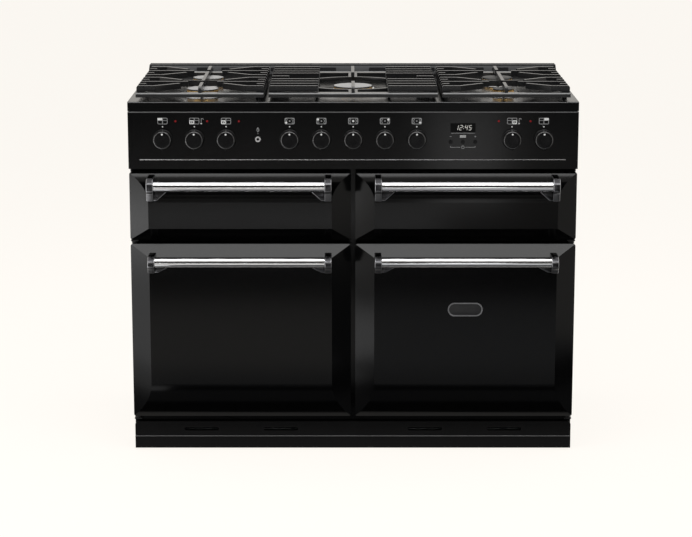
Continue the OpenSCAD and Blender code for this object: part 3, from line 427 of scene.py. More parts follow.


# Carried-over CAD nodes: their material, and softened edges

# Pale grey copy of the cast iron for the pan supports' softened edges: painted highlight
IRON_EDGE_HIGHLIGHT = surface("iron_edge_painted_highlight", (0.21, 0.21, 0.21), 0.36, specular=0.5, spread=0.3, patch=90.0,
                    grain=520.0, bump=0.2, depth=0.0003)
DARK_CASTING = surface("dark_casting", (0.10, 0.10, 0.104), 0.38, metal=0.35, specular=0.4, spread=0.3,
                       patch=50.0, grain=650.0, bump=0.25, depth=0.0003)
HOB_ENAMEL = surface("hob_enamel", (0.0012, 0.0012, 0.0013), 0.22, specular=0.08, spread=0.2,
                     rough_spread=0.03, patch=14.0, grain=240.0, bump=0.03, depth=0.0003)
EDGE_ENAMEL = surface("edge_enamel", (0.004, 0.004, 0.0043), 0.20, specular=0.6, spread=0.2,
                      patch=14.0, grain=240.0, bump=0.03, depth=0.0003)
PLINTH_PAINT = surface("plinth_paint", (0.0036, 0.0036, 0.0038), 0.55, specular=0.08, spread=0.15,
                       grain=900.0, bump=0.1)
# Pale grey for the back ledge's front face, standing for its reflection of the room: painted reflection
LEDGE_FACE_REFLECTION = surface("ledge_painted_reflection", (0.085, 0.085, 0.086), 0.45, specular=0.3, spread=0.08, patch=50.0,
                      grain=900.0, bump=0.06, depth=0.0001, stretch=BRUSH_X)
LEDGE_PAINT = surface("ledge_paint", (0.020, 0.020, 0.0205), 0.55, specular=0.1, spread=0.15,
                      grain=900.0, bump=0.1)
HINGE_BLACK = surface("hinge_black", (0.006, 0.006, 0.0062), 0.5, specular=0.2, spread=0.3,
                      grain=700.0, bump=0.15)
WINDOW_BLACK = surface("window_black", (0.0003, 0.0003, 0.0003), 0.09, specular=0.03, spread=0.1,
                       grain=120.0)
LOOK_AT = {"burner_bases": DARK_CASTING, "plinth": PLINTH_PAINT, "hob_tray": HOB_ENAMEL,
           "rear_ledge": LEDGE_PAINT, "door_hinges": HINGE_BLACK, "clock_window": WINDOW_BLACK}
EDGE = {"cast_iron": 1.5, "black_enamel": 0.8, "cast_aluminium": 0.5, "casing_paint": 0.6,
        "galvanised_sheet": 0.4, "oven_enamel": 0.6, "knob_black": 0.4, "brass": 0.25, "cap_enamel": 0.4}
EDGE_AT = {"hob_tray": 1.8}
EDGE_ELSE = 0.3
SOFT_ANGLE = 34.0
WELD_M = 0.00001
# Sheets whose long thin triangles would show as lines if their edges were softened
SHEETS = ("control_panel", "back_panel")
for node_name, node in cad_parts.items():
    slot_name = node.data.materials[0].name.split(".")[0]
    node.material_slots[0].material = LOOK_AT.get(node_name, LOOKS[slot_name])
    weld = node.modifiers.new("weld", "WELD")
    weld.merge_threshold = WELD_M
    if node_name in SHEETS:
        continue
    soft = node.modifiers.new("soft_edges", "BEVEL")
    soft.limit_method = "ANGLE"
    soft.angle_limit = math.radians(SOFT_ANGLE)
    soft.width = EDGE_AT.get(node_name, EDGE.get(slot_name, EDGE_ELSE)) * MM
    soft.segments = 2
    soft.use_clamp_overlap = True
    # The cast-iron nodes' softened edges take the pale grey iron: painted highlight
    if slot_name == "cast_iron":
        node.data.materials.append(IRON_EDGE_HIGHLIGHT)
        soft.material = 1
    if node_name == "hob_tray":
        node.data.materials.append(EDGE_ENAMEL)
        soft.material = 1
    if slot_name == "black_enamel":
        even = node.modifiers.new("even_shading", "WEIGHTED_NORMAL")
        even.keep_sharp = True
        even.use_face_influence = True
        soft.face_strength_mode = "FSTR_ALL"


# Door handles: polished bar between two cast chrome brackets, whose dark faces, pale edges and mid grey lower
# facets are painted reflections and highlights

HANDLE_L = 450.0
HANDLE_R = 13.0
REACH = 42.0
TIP = REACH + HANDLE_R
BRACKET_W = 17.0
GUSSET_W = 31.0
BAR_X = HANDLE_L / 2 - BRACKET_W
# The bar's height over the door's lower edge, and the brackets' reach above and below it
HANDLE_AT = {TOP_H: (TOP_H - 25, 20.0, 36.0), LOW_H: (LOW_H - 34, 14.5, 26.6)}


def handle(door, cx, door_z, z, rise, drop):
    bar = bmesh.new()
    lathe(bar, [(0.0, -BAR_X - 9.8), (6.2, -BAR_X - 9.8), (7.0, -BAR_X - 9.0), (7.0, -BAR_X + 0.05),
                (HANDLE_R - 0.7, -BAR_X + 0.05), (HANDLE_R, -BAR_X + 0.8), (HANDLE_R, BAR_X - 0.8),
                (HANDLE_R - 0.7, BAR_X - 0.05), (7.0, BAR_X - 0.05), (7.0, BAR_X + 9.0),
                (6.2, BAR_X + 9.8), (0.0, BAR_X + 9.8)],
          (cx, Y_FACE - REACH, door_z + z), "x", 64)
    make(bar, door + "_bar", LOOKS["chrome"], door, [door + "_handle"])
    ends = bmesh.new()
    outline = [(-REACH - 2, z - drop), (22.0, z - drop), (22.0, z + rise), (-REACH, z + rise),
               (-TIP + 5, z + rise - 5), (-TIP, z + rise - 12), (-TIP, z - 6)]
    for k in range(1, 7):
        a = math.radians(180 + 10 * k)
        outline.append((-TIP + 12 + 12 * math.cos(a), z - 6 + 12 * math.sin(a)))
    outline = [(y + Y_FACE, door_z + h) for y, h in outline]
    for s in (-1, 1):
        x0, x1 = sorted((cx + s * BAR_X, cx + s * HANDLE_L / 2))
        prism(ends, outline, "x", x0, x1, 1.6, 3, tint=1)
        web = [(cx + s * (BAR_X + 1), door_z + z - 9.5), (cx + s * (BAR_X - GUSSET_W), door_z + z - 9.5),
               (cx + s * (BAR_X - GUSSET_W), door_z + z - 14), (cx + s * (BAR_X - 8), door_z + z - drop + 1),
               (cx + s * (BAR_X + 1), door_z + z - drop + 1)]
        prism(ends, web, "y", Y_FACE - REACH + 2, Y_FACE - REACH + 8, 1.3, 2, tint=1)
    ends.normal_update()
    # Front faces that tilt down take the mid grey chrome: painted reflection
    for face in ends.faces:
        if face.material_index == 0 and face.normal.y < -0.5 and face.normal.z < -0.2:
            face.material_index = 2
    make(ends, door + "_brackets", [CHROME_DARK_REFLECTION, CHROME_EDGE_HIGHLIGHT, CHROME_LOWER_REFLECTION], door)


for door, cx, z0, h in DOORS:
    handle(door, cx, z0, *HANDLE_AT[h])


# Control knobs

# Radius and depth, from the middle of the hollow back over the rim to the middle of the face
KNOB_PROFILE = [(0.0, -1.2), (20.3, -1.2), (20.3, 0.0), (23.4, 0.0), (24.2, -0.3), (24.5, -1.0),
                (24.5, -4.6), (24.2, -5.6), (23.4, -6.6), (22.8, -8.0), (21.9, -19.5), (21.6, -21.6),
                (21.1, -22.9), (20.3, -23.6), (19.0, -23.9), (12.0, -23.62), (0.0, -23.42)]
KNOB_BRIGHT_BANDS = range(3, 14)
KNOB_SEAT = Y_PANEL - 1.0
NUB_DROP = 21.5


def knob(number, x):
    body = "knob_%d" % number
    bm = bmesh.new()
    lathe(bm, KNOB_PROFILE, (x, KNOB_SEAT, Z_KNOB), "y", 64, KNOB_BRIGHT_BANDS)
    lathe(bm, [(0.0, -1.0), (4.5, -1.0), (4.5, -16.0), (4.0, -17.2), (2.6, -17.9), (0.0, -18.0)],
          (x, KNOB_SEAT, Z_KNOB - NUB_DROP), "y", 24)
    lathe(bm, [(0.0, 0.5), (3.0, 0.5), (3.0, 60.0), (0.0, 60.0)], (x, KNOB_SEAT, Z_KNOB), "y", 16)
    make(bm, body + "_shell", [LOOKS["knob_black"], KNOB_RIM], body, [body])
    dot = bmesh.new()
    lathe(dot, [(0.0, 0.4), (2.3, 0.4), (2.3, -0.1), (2.1, -0.2), (0.0, -0.25)],
          (x, Y_PANEL - 24.75, Z_KNOB + 14.6), "y", 20)
    make(dot, body + "_dot", PRINT_WHITE, body)


for k, kx in enumerate(KNOB_X, 1):
    knob(k, kx)


# Printed marks, lamps and clock on the panel

PRINT_T = 0.15
WHITE_T = PRINT_T + 0.05
PRINT_SINK = 0.05


def flat(bm, outline, t=PRINT_T):
    prism(bm, outline, "y", Y_PANEL - t, Y_PANEL + PRINT_SINK)


def band(bm, outer, inner, t=PRINT_T):
    ring(bm, outer, inner, "y", Y_PANEL - t, Y_PANEL + PRINT_SINK)


def rect(x0, x1, z0, z1):
    return [(x0, z0), (x1, z0), (x1, z1), (x0, z1)]


grey = bmesh.new()
white = bmesh.new()
ICON_Z = 841.3
ICON_W = 24.5
ICON_H = 15.8
LINE = 1.5


def icon_outline(x):
    band(grey, rounded(x, ICON_Z, ICON_W, ICON_H, 3.0),
         rounded(x, ICON_Z, ICON_W - 2 * LINE, ICON_H - 2 * LINE, 1.6))


def oven_icon(x, column, row):
    """Oven mark: four fields, of which one is lit."""
    icon_outline(x)
    flat(grey, rect(x - 0.9, x + 0.9, ICON_Z - ICON_H / 2 + LINE, ICON_Z + ICON_H / 2 - LINE))
    for s in (-1, 1):
        flat(grey, rect(*sorted((x + s * 0.9, x + s * (ICON_W / 2 - LINE))), ICON_Z + 0.9, ICON_Z + 2.1))
    x0, x1 = sorted((x + column * 1.0, x + column * (ICON_W / 2 - 0.4)))
    if row > 0:
        flat(white, rect(x0, x1, ICON_Z + 2.0, ICON_Z + ICON_H / 2 - 0.5), t=WHITE_T)
    else:
        cx = (x0 + x1) / 2
        cz = ICON_Z - 2.9
        band(white, rounded(cx, cz, x1 - x0, 9.0, 1.2), rounded(cx, cz, x1 - x0 - 4.2, 4.6, 0.8),
             t=WHITE_T)
        flat(white, rounded(cx, cz, 2.4, 2.4, 0.6), t=WHITE_T)


def hob_icon(x, spot):
    """Hob mark: five burners, of which one is lit."""
    icon_outline(x)
    spots = [(-8.2, -3.7), (-8.2, 3.7), (0.0, 0.0), (8.2, 3.7), (8.2, -3.7)]
    for k, (u, v) in enumerate(spots):
        if k == spot:
            flat(white, circle(x + u, ICON_Z + v, 2.7, 16), t=WHITE_T)
        elif k == 2:
            flat(grey, circle(x + u, ICON_Z + v, 2.0, 16))
        else:
            band(grey, circle(x + u, ICON_Z + v, 3.0, 16), circle(x + u, ICON_Z + v, 1.7, 16))


def thermometer(x):
    flat(grey, rect(x - 0.6, x + 0.6, ICON_Z - 5.0, ICON_Z + 6.9))
    flat(grey, rect(x + 0.6, x + 5.2, ICON_Z + 5.7, ICON_Z + 6.9))
    flat(grey, rect(x + 4.2, x + 5.4, ICON_Z + 3.2, ICON_Z + 5.7))
    flat(white, circle(x, ICON_Z - 6.0, 1.8, 14))


DOT_Z = 827.4
THERMOMETER_DX = 17.0
for k, column, row in ((0, -1, 1), (1, -1, -1), (2, -1, -1), (8, 1, -1), (9, 1, 1)):
    oven_icon(KNOB_X[k], column, row)
for k in (1, 8):
    thermometer(KNOB_X[k] + THERMOMETER_DX)
for k in range(5):
    hob_icon(KNOB_X[3 + k], k)
for kx in KNOB_X:
    flat(white, circle(kx, DOT_Z, 1.7, 16))

# Flame mark over the ignition button
FLAME_Z = 819.5
drop = []
for i in range(24):
    a = 2 * math.pi * i / 24
    lift = math.sin(a)
    width = 3.3 * math.cos(a) * (1.0 - 0.42 * max(0.0, lift))
    drop.append((IGNITER_X + width, FLAME_Z + (6.6 if lift > 0 else 4.4) * lift))
FLAME_MID_Z = 818.6
inner_drop = [(IGNITER_X + (u - IGNITER_X) * 0.52, FLAME_MID_Z + (v - FLAME_MID_Z) * 0.55) for u, v in drop]
band(grey, drop, inner_drop)
flat(grey, rect(IGNITER_X - 0.6, IGNITER_X + 0.6, 809.6, 813.0))

# Marks round the clock: line under the glass, minus, mode lines, plus, bracket with a clock face
flat(grey, rect(CLOCK_X - 29, CLOCK_X + 29, 811.0, 812.0))
flat(grey, rect(CLOCK_X - 32, CLOCK_X - 28, 802.6, 803.8))
flat(grey, rect(CLOCK_X + 28, CLOCK_X + 32, 802.6, 803.8))
flat(grey, rect(CLOCK_X + 29.4, CLOCK_X + 30.6, 801.2, 802.6))
flat(grey, rect(CLOCK_X + 29.4, CLOCK_X + 30.6, 803.8, 805.2))
for k in range(3):
    flat(white, rect(CLOCK_X - 7.5, CLOCK_X + 7.5, 805.2 - 2.2 * k, 806.2 - 2.2 * k))
flat(grey, rect(CLOCK_X - 30.5, CLOCK_X - 6.5, 776.2, 777.3))
flat(grey, rect(CLOCK_X + 6.5, CLOCK_X + 30.5, 776.2, 777.3))
for s in (-1, 1):
    flat(grey, rect(*sorted((CLOCK_X + s * 30.5, CLOCK_X + s * 29.4)), 777.3, 780.2))
band(grey, circle(CLOCK_X, 776.8, 4.0), circle(CLOCK_X, 776.8, 2.9))
flat(grey, rect(CLOCK_X - 0.4, CLOCK_X + 0.4, 776.8, 779.2))
make(grey, "panel_print_grey", PRINT_GREY, ROOT)
make(white, "panel_print_white", PRINT_WHITE, ROOT)

LAMP_X = (-433.5, -356.0, -278.8, 355.0, 432.5)
LAMP_Z = 840.8
lamps = bmesh.new()
for lx in LAMP_X:
    lathe(lamps, [(0.0, 0.3), (2.6, 0.3), (2.6, -0.2), (2.2, -0.7), (1.2, -1.05), (0.0, -1.15)],
          (lx, Y_PANEL, LAMP_Z), "y", 20)
make(lamps, "indicator_lamps", LED_RED, ROOT)

digits = bmesh.new()
SEGMENTS = {"1": "bc", "2": "abged", "4": "fgbc", "5": "afgcd"}
DIGIT_W = 6.4
DIGIT_H = 12.6
STROKE = 1.15
SLANT = 0.22
DIGIT_LIFT = 0.12
DIGIT_SINK = 0.4


def digit(char, x):
    """Slanted seven-segment digit with its lower left corner at x."""
    w, h, t = DIGIT_W, DIGIT_H, STROKE
    spans = {"a": (t * 0.6, h - t, w - t * 0.6, h), "g": (t * 0.6, (h - t) / 2, w - t * 0.6, (h + t) / 2),
             "d": (t * 0.6, 0, w - t * 0.6, t), "f": (0, h / 2 + 0.4, t, h - t * 0.5),
             "b": (w - t, h / 2 + 0.4, w, h - t * 0.5), "e": (0, t * 0.5, t, h / 2 - 0.4),
             "c": (w - t, t * 0.5, w, h / 2 - 0.4)}
    for name in SEGMENTS[char]:
        x0, z0, x1, z1 = spans[name]
        outline = [(x + u + SLANT * v, Z_CLOCK - h / 2 + v)
                   for u, v in ((x0, z0), (x1, z0), (x1, z1), (x0, z1))]
        prism(digits, outline, "y", Y_PANEL - DIGIT_LIFT, Y_PANEL + DIGIT_SINK)


for char, dx in zip("1245", (-19.0, -9.5, 3.6, 13.1)):
    digit(char, CLOCK_X + dx)
for v in (-2.6, 2.8):
    prism(digits, rounded(CLOCK_X + 1.3 + SLANT * v, Z_CLOCK + v, 1.5, 1.5, 0.4), "y",
          Y_PANEL - DIGIT_LIFT, Y_PANEL + DIGIT_SINK)
make(digits, "clock_digits", DIGIT_WHITE, ROOT)

inlay = bmesh.new()
block(inlay, -522.5, 519.5, Y_PANEL - 0.45, Y_PANEL + 0.1, 745.2, 747.0, 0.2)
make(inlay, "panel_inlay", INLAY, ROOT)


# Back ledge's face, a pale grey painted reflection, its black slots of painted shade, and the ignition
# button's dish

SLOT_PITCH = 66.0
ledge = bmesh.new()
block(ledge, -538.0, 538.0, Y_BACK - 38.5, Y_BACK - 37.6, Z_HOB + 3.0, Z_HOB + 25.0, 0.2)
make(ledge, "ledge_fascia", LEDGE_FACE_REFLECTION, ROOT)
# Black slots on the ledge's face stand for its vent openings: painted shade
vent_shade = bmesh.new()
for k in range(-6, 7):
    if k != 0:
        slot_line = rounded(k * SLOT_PITCH, Z_HOB + 15.0, 44.0, 11.0, 3.0, 3)
        prism(vent_shade, slot_line, "y", Y_BACK - 38.8, Y_BACK - 38.3)
make(vent_shade, "ledge_vent_shade", LOOKS["black_plastic"], ROOT)

dish = bmesh.new()
lathe(dish, [(0.0, 0.3), (3.4, 0.3), (3.4, -0.1), (3.0, -0.25), (1.6, -0.2), (0.0, -0.15)],
      (IGNITER_X, Y_PANEL - 4.0, Z_KNOB), "y", 32)
make(dish, "igniter_dish", LOOKS["knob_black"], "igniter_button")


# Plain badge plate on the lower right door

badge = bmesh.new()
BADGE_Z = 373.1
prism(badge, rounded(DOOR_X, BADGE_Z, 86.0, 34.0, 16.9, 12), "y", Y_FACE - 1.6, Y_FACE + 0.5, 0.5)
ring(badge, rounded(DOOR_X, BADGE_Z, 86.4, 34.4, 17.1, 12), rounded(DOOR_X, BADGE_Z, 80.0, 28.0, 13.9, 12),
     "y", Y_FACE - 3.2, Y_FACE - 1.0)
BADGE_RIM = surface("badge_rim", (0.20, 0.20, 0.205), 0.30, metal=1.0, spread=0.3, patch=60.0,
                    grain=800.0, bump=0.1, depth=0.0001)
BADGE_FIELD = surface("badge_field", (0.014, 0.014, 0.015), 0.42, metal=0.4, spread=0.4, patch=45.0,
                      grain=700.0, bump=0.15, depth=0.0001)
make(badge, "badge_rim", BADGE_RIM, "right_door")
field = bmesh.new()
prism(field, rounded(DOOR_X, BADGE_Z, 80.6, 28.6, 14.2, 12), "y", Y_FACE - 2.1, Y_FACE - 1.2, 0.2)
make(field, "badge_field", BADGE_FIELD, "right_door")


# Pale beads along the front edges of the panel, the hob and the plinth, and along the pan supports' front and
# back: painted highlights

# Grey beads that stand for the light lines on the front edges: painted highlight
EDGE_HIGHLIGHT_BEAD = surface("edge_painted_highlight", (0.055, 0.055, 0.056), 0.30, specular=0.5, spread=0.15, grain=900.0)
IRON_RIM_HIGHLIGHT = surface("iron_rim_painted_highlight", (0.19, 0.19, 0.19), 0.38, specular=0.4, spread=0.2, patch=90.0,
                    grain=520.0, bump=0.2, depth=0.0002)
BEAD_X = 549.0
PLINTH_BEAD_Z = 34.9


def bead(bm, cx, half, y, z, r):
    """Level round bead with its middle at cx."""
    tube(bm, [(cx - half, y, z), (cx, y, z), (cx + half, y, z)], r, 12)


highlight_beads = bmesh.new()
bead(highlight_beads, 0.0, BEAD_X, Y_PANEL + 1.75, Z_HOB - 1.75, 1.4)
bead(highlight_beads, 0.0, BEAD_X, Y_PANEL + 1.4, Z_PANEL_TOP - 1.3, 1.8)
bead(highlight_beads, 0.0, BEAD_X, Y_PLINTH + 0.8, PLINTH_BEAD_Z, 1.3)
make(highlight_beads, "edge_highlight_beads", EDGE_HIGHLIGHT_BEAD, ROOT)
# Pale iron rims along the pan supports' front and back edges: painted highlight
for body, cx, w in (("pan_support_left", -SUPPORT_X, SUPPORT_W), ("pan_support_mid", 0.0, SUPPORT_MID_W),
                    ("pan_support_right", SUPPORT_X, SUPPORT_W)):
    rim = bmesh.new()
    for y in (Y_PANEL + 9.2, Y_PANEL + 458.8):
        bead(rim, cx, w / 2 - 1.0, y, Z_HOB + 19.0, 1.9)
    make(rim, body + "_highlight_rims", IRON_RIM_HIGHLIGHT, body)


# Burner caps and brass rings

# Darker copy of the cap enamel for the right-hand caps: painted shade
CAP_PAINTED_SHADE = surface("cap_painted_shade", (0.022, 0.022, 0.0225), 0.5, specular=0.15, spread=0.12, patch=60.0,
                   grain=420.0, bump=0.08, depth=0.0002)
SKIRT = surface("polished_skirt", (0.55, 0.55, 0.56), 0.20, metal=1.0, spread=0.15, patch=60.0,
                grain=700.0, bump=0.12, depth=0.0002)
CAP_RISE = 11.5
PORTS = 40
caps = bmesh.new()
brass = bmesh.new()
skirts = bmesh.new()
for bx, by, cap, flange in BURNERS:
    r = cap / 2
    top = flange + CAP_RISE
    lathe(skirts, [(r + 1.2, 0.2), (r + 1.2, flange + 0.3), (r + 12.4, 3.0), (r + 18.6, 1.9),
                   (r + 20.0, 1.2), (r + 20.0, 0.2)], (bx, Y_PANEL + by, Z_HOB), "z", 64)
    start = len(caps.faces)
    lathe(caps, [(0.0, -3.6), (r - 2.4, -3.6), (r - 0.8, -3.2), (r, -2.3), (r, -1.5), (r - 0.6, -0.7),
                 (r - 2.2, -0.2), (0.0, 0.0)], (bx, Y_PANEL + by, Z_HOB + top), "z", 64, range(0, 5))
    # The two right-hand caps have darker tops: painted shade, since all five caps are alike
    for face in list(caps.faces)[start:]:
        if bx > 0 and face.material_index == 0:
            face.material_index = 2
    low = flange - 0.4
    lathe(brass, [(r - 9.5, low), (r - 1.0, low), (r - 1.0, low + 1.6), (r - 1.8, low + 2.2),
                  (r - 1.8, top - 4.6), (r - 2.6, top - 3.9), (r - 9.5, top - 3.9)],
          (bx, Y_PANEL + by, Z_HOB), "z", 64)
    for k in range(PORTS):
        a = 2 * math.pi * k / PORTS
        turn = Matrix.Translation((bx, Y_PANEL + by, Z_HOB)) @ Matrix.Rotation(a, 4, "Z")
        tooth = bmesh.new()
        block(tooth, r - 3.0, r - 0.9, -1.4, 1.4, low + 1.0, top - 4.2, 0.3, 1)
        bmesh.ops.transform(tooth, matrix=turn, verts=tooth.verts)
        piece = bpy.data.meshes.new("tooth")
        tooth.to_mesh(piece)
        tooth.free()
        brass.from_mesh(piece)
        bpy.data.meshes.remove(piece)
make(caps, "burner_tops", [LOOKS["cap_enamel"], LOOKS["cast_iron"], CAP_PAINTED_SHADE], ROOT,
     ["burner_caps"])
make(skirts, "burner_skirts", SKIRT, ROOT)
make(brass, "burner_rings", LOOKS["brass"], ROOT, ["burner_heads"])


# Burner electrodes

sparks = bmesh.new()
tips = bmesh.new()
for bx, by, cap, flange in BURNERS:
    turn = math.radians(200 if bx < 0 else -20)
    ex = bx + (cap / 2 + 6.0) * math.cos(turn)
    ey = Y_PANEL + by + (cap / 2 + 6.0) * math.sin(turn)
    lathe(sparks, [(0.0, 0.0), (3.0, 0.0), (3.0, 1.5), (2.2, 2.2), (2.2, 8.5), (1.6, 9.2), (0.0, 9.2)],
          (ex, ey, Z_HOB + 1.5), "z", 18)
    lathe(tips, [(0.0, 0.0), (0.8, 0.0), (0.8, 2.2), (0.4, 2.8), (0.0, 2.8)],
          (ex, ey, Z_HOB + 10.6), "z", 12)
make(sparks, "spark_insulators", CERAMIC, ROOT)
make(tips, "spark_tips", LOOKS["hinge_steel"], ROOT)


# Oven shelves of round wire

shelves = bmesh.new()
WIRE_R = 3.0
THIN_R = 1.5
WIRE_PITCH = 30.0
SHELF_DEPTH = 330.0
SHELVES = [(side * DOOR_X, LOW_CAVITY_Z + ledge_z) for side in (-1, 1) for ledge_z in LOW_LEDGES]
for cx, z in SHELVES + [(DOOR_X, TOP_CAVITY_Z + TOP_LEDGE)]:
    w = CAVITY_W - 4.6
    y0 = Y_LINER + 18.0
    y1 = y0 + SHELF_DEPTH
    zc = z + WIRE_R
    ym = (y0 + y1) / 2
    loop = rounded(cx, ym, w - 2 * WIRE_R, y1 - y0 - 2 * WIRE_R, 9.0, 6)
    tube(shelves, [(u, v, zc) for u, v in loop], WIRE_R, 12, closed=True)
    for k in range(-6, 7):
        x = cx + k * WIRE_PITCH
        tube(shelves, [(x, y0 + WIRE_R, zc), (x, ym, zc), (x, y1 - WIRE_R, zc)], THIN_R, 8)
    low = zc - 1.4
    for y in (y0 + 110.0, y0 + 220.0):
        tube(shelves, [(cx - w / 2 + WIRE_R, y, low), (cx, y, low), (cx + w / 2 - WIRE_R, y, low)], THIN_R, 8)
make(shelves, "wire_shelves", LOOKS["chrome"], ROOT, ["oven_shelves"])


# Wire trivet in the grill pan

trivet = bmesh.new()
TZ = TOP_CAVITY_Z + TOP_LEDGE - 12
TRIVET_WIRES = 17
px0, px1 = -DOOR_X - CAVITY_W / 2 + 24, -DOOR_X + CAVITY_W / 2 - 24
py0, py1 = Y_LINER + 34, LINER_BACK - 64
pym = (py0 + py1) / 2
loop = rounded((px0 + px1) / 2, pym, px1 - px0, py1 - py0, 10.0, 6)
tube(trivet, [(u, v, TZ) for u, v in loop], 2.2, 12, closed=True)
for k in range(TRIVET_WIRES):
    x = px0 + (px1 - px0) * (k + 1) / (TRIVET_WIRES + 1)
    tube(trivet, [(x, py0, TZ + 1.5), (x, pym, TZ + 1.5), (x, py1, TZ + 1.5)], 1.3, 8)
for u in (px0 + 30, px1 - 30):
    for v in (py0 + 30, py1 - 30):
        foot = [(u - 12, v, TZ), (u - 6, v, TZ - 13.5), (u + 6, v, TZ - 13.5), (u + 12, v, TZ)]
        tube(trivet, bent(foot, 4), 1.6, 8)
make(trivet, "grill_trivet", LOOKS["chrome"], ROOT)


# Inner door pressings and screws

SCREW_R = 4.0
SCREW_DX = DOOR_W / 2 - 18
# Inner door's height over the door's lower edge, its own height, and its screws' shares of the door's height
INNER = {TOP_H: (45.0, 106.0, (0.28, 0.94)), LOW_H: (42.0, 356.0, (0.06, 0.5, 0.94))}


def screw(bm, x, z, y):
    """Pan-head screw with a round recess, facing the oven."""
    r = SCREW_R
    lathe(bm, [(0.0, -1.0), (r, -1.0), (r, 0.6), (r * 0.86, 1.5), (r * 0.5, 2.0),
               (r * 0.34, 2.05), (r * 0.22, 1.2), (0.0, 1.1)], (x, y, z), "y", 20)


for door, cx, z0, h in DOORS:
    press = bmesh.new()
    low, inner_h, shares = INNER[h]
    cz = z0 + low + inner_h / 2
    for grow, rise in ((-34.0, 1.6), (-60.0, 2.6)):
        prism(press, rounded(cx, cz, CAVITY_W + grow, inner_h + grow, 18.0, 8), "y",
              Y_DOOR_BACK - 1.0, Y_DOOR_BACK + rise, 0.9, 3)
    make(press, door + "_pressing", LOOKS["oven_enamel"], door)
    pins = bmesh.new()
    for u in (-1, 1):
        for v in shares:
            screw(pins, cx + u * SCREW_DX, z0 + h * v, Y_DOOR_BACK)
    make(pins, door + "_screws", ZINC, door)


# Stage: floor, background and lights

BACKGROUND = (1.0, 0.965, 0.913, 1.0)
FLOOR_CLOTH = (0.90, 0.88, 0.84, 1.0)
SKY_LIGHT = (0.95, 0.97, 1.0, 1.0)
FLOOR_GLOW = 1.04
FLOOR_GLOW_SHARE = 0.88
SKY_STRENGTH = 0.45


def seen(nodes, links):
    """Socket that is 1 for what is seen straight, in a mirror or through glass, and 0 for the rest."""
    path = nodes.new("ShaderNodeLightPath")
    straight = nodes.new("ShaderNodeMath")
    straight.operation = "ADD"
    links.new(path.outputs["Is Camera Ray"], straight.inputs[0])
    links.new(path.outputs["Is Glossy Ray"], straight.inputs[1])
    total = nodes.new("ShaderNodeMath")
    total.operation = "ADD"
    total.use_clamp = True
    links.new(straight.outputs[0], total.inputs[0])
    links.new(path.outputs["Is Transmission Ray"], total.inputs[1])
    return total.outputs[0]


def lit_floor():
    """Floor that shows the background's colour and still takes the object's shadow."""
    mat = bpy.data.materials.new("floor")
    mat.use_nodes = True
    nodes = mat.node_tree.nodes
    links = mat.node_tree.links
    nodes.clear()
    out = nodes.new("ShaderNodeOutputMaterial")
    cloth = nodes.new("ShaderNodeBsdfDiffuse")
    cloth.inputs["Color"].default_value = FLOOR_CLOTH
    glow = nodes.new("ShaderNodeEmission")
    glow.inputs["Color"].default_value = BACKGROUND
    glow.inputs["Strength"].default_value = FLOOR_GLOW
    mix = nodes.new("ShaderNodeMixShader")
    share = nodes.new("ShaderNodeMath")
    share.operation = "MULTIPLY"
    share.inputs[1].default_value = FLOOR_GLOW_SHARE
    links.new(seen(nodes, links), share.inputs[0])
    links.new(share.outputs[0], mix.inputs[0])
    links.new(cloth.outputs[0], mix.inputs[1])
    links.new(glow.outputs[0], mix.inputs[2])
    links.new(mix.outputs[0], out.inputs["Surface"])
    return mat


floor_mesh = bpy.data.meshes.new("floor")
floor_mesh.from_pydata([(-16, -14, 0), (16, -14, 0), (16, 18, 0), (-16, 18, 0)], [], [(0, 1, 2, 3)])
floor = bpy.data.objects.new("floor", floor_mesh)
floor.data.materials.append(lit_floor())
bpy.context.collection.objects.link(floor)

world = bpy.data.worlds.new("world")
bpy.context.scene.world = world
world.use_nodes = True
wn = world.node_tree.nodes
wl = world.node_tree.links
wn.clear()
w_out = wn.new("ShaderNodeOutputWorld")
w_seen = wn.new("ShaderNodeBackground")
w_seen.inputs["Color"].default_value = BACKGROUND
w_seen.inputs["Strength"].default_value = 1.0
w_light = wn.new("ShaderNodeBackground")
w_light.inputs["Color"].default_value = SKY_LIGHT
w_light.inputs["Strength"].default_value = SKY_STRENGTH
w_mix = wn.new("ShaderNodeMixShader")
wl.new(seen(wn, wl), w_mix.inputs[0])
wl.new(w_light.outputs[0], w_mix.inputs[1])
wl.new(w_seen.outputs[0], w_mix.inputs[2])
wl.new(w_mix.outputs[0], w_out.inputs["Surface"])


def card(name, corners, value, glow=0.0):
    """Card that only reflections see."""
    mesh = bpy.data.meshes.new(name)
    mesh.from_pydata(corners, [], [(0, 1, 2, 3)])
    obj = bpy.data.objects.new(name, mesh)
    mat = bpy.data.materials.new(name)
    mat.use_nodes = True
    shader = mat.node_tree.nodes["Principled BSDF"]
    shader.inputs["Base Color"].default_value = (value, value, value, 1.0)
    shader.inputs["Roughness"].default_value = 1.0
    shader.inputs["Specular IOR Level"].default_value = 0.0
    shader.inputs["Emission Color"].default_value = (1.0, 1.0, 1.0, 1.0)
    shader.inputs["Emission Strength"].default_value = glow
    obj.data.materials.append(mat)
    obj.visible_camera = False
    obj.visible_shadow = False
    obj.visible_diffuse = False
    bpy.context.collection.objects.link(obj)


LIFT = 0.004
LIFT_OVER = 0.007
LIFT_TOP = 0.009


def on_floor(name, points, value, glow=0.0, lift=LIFT):
    card(name, [(x, y, lift) for x, y in points], value, glow)


def strip(name, x0, x1, y0, y1, value, glow=0.0, lift=LIFT):
    on_floor(name, [(x0, y0), (x1, y0), (x1, y1), (x0, y1)], value, glow, lift)


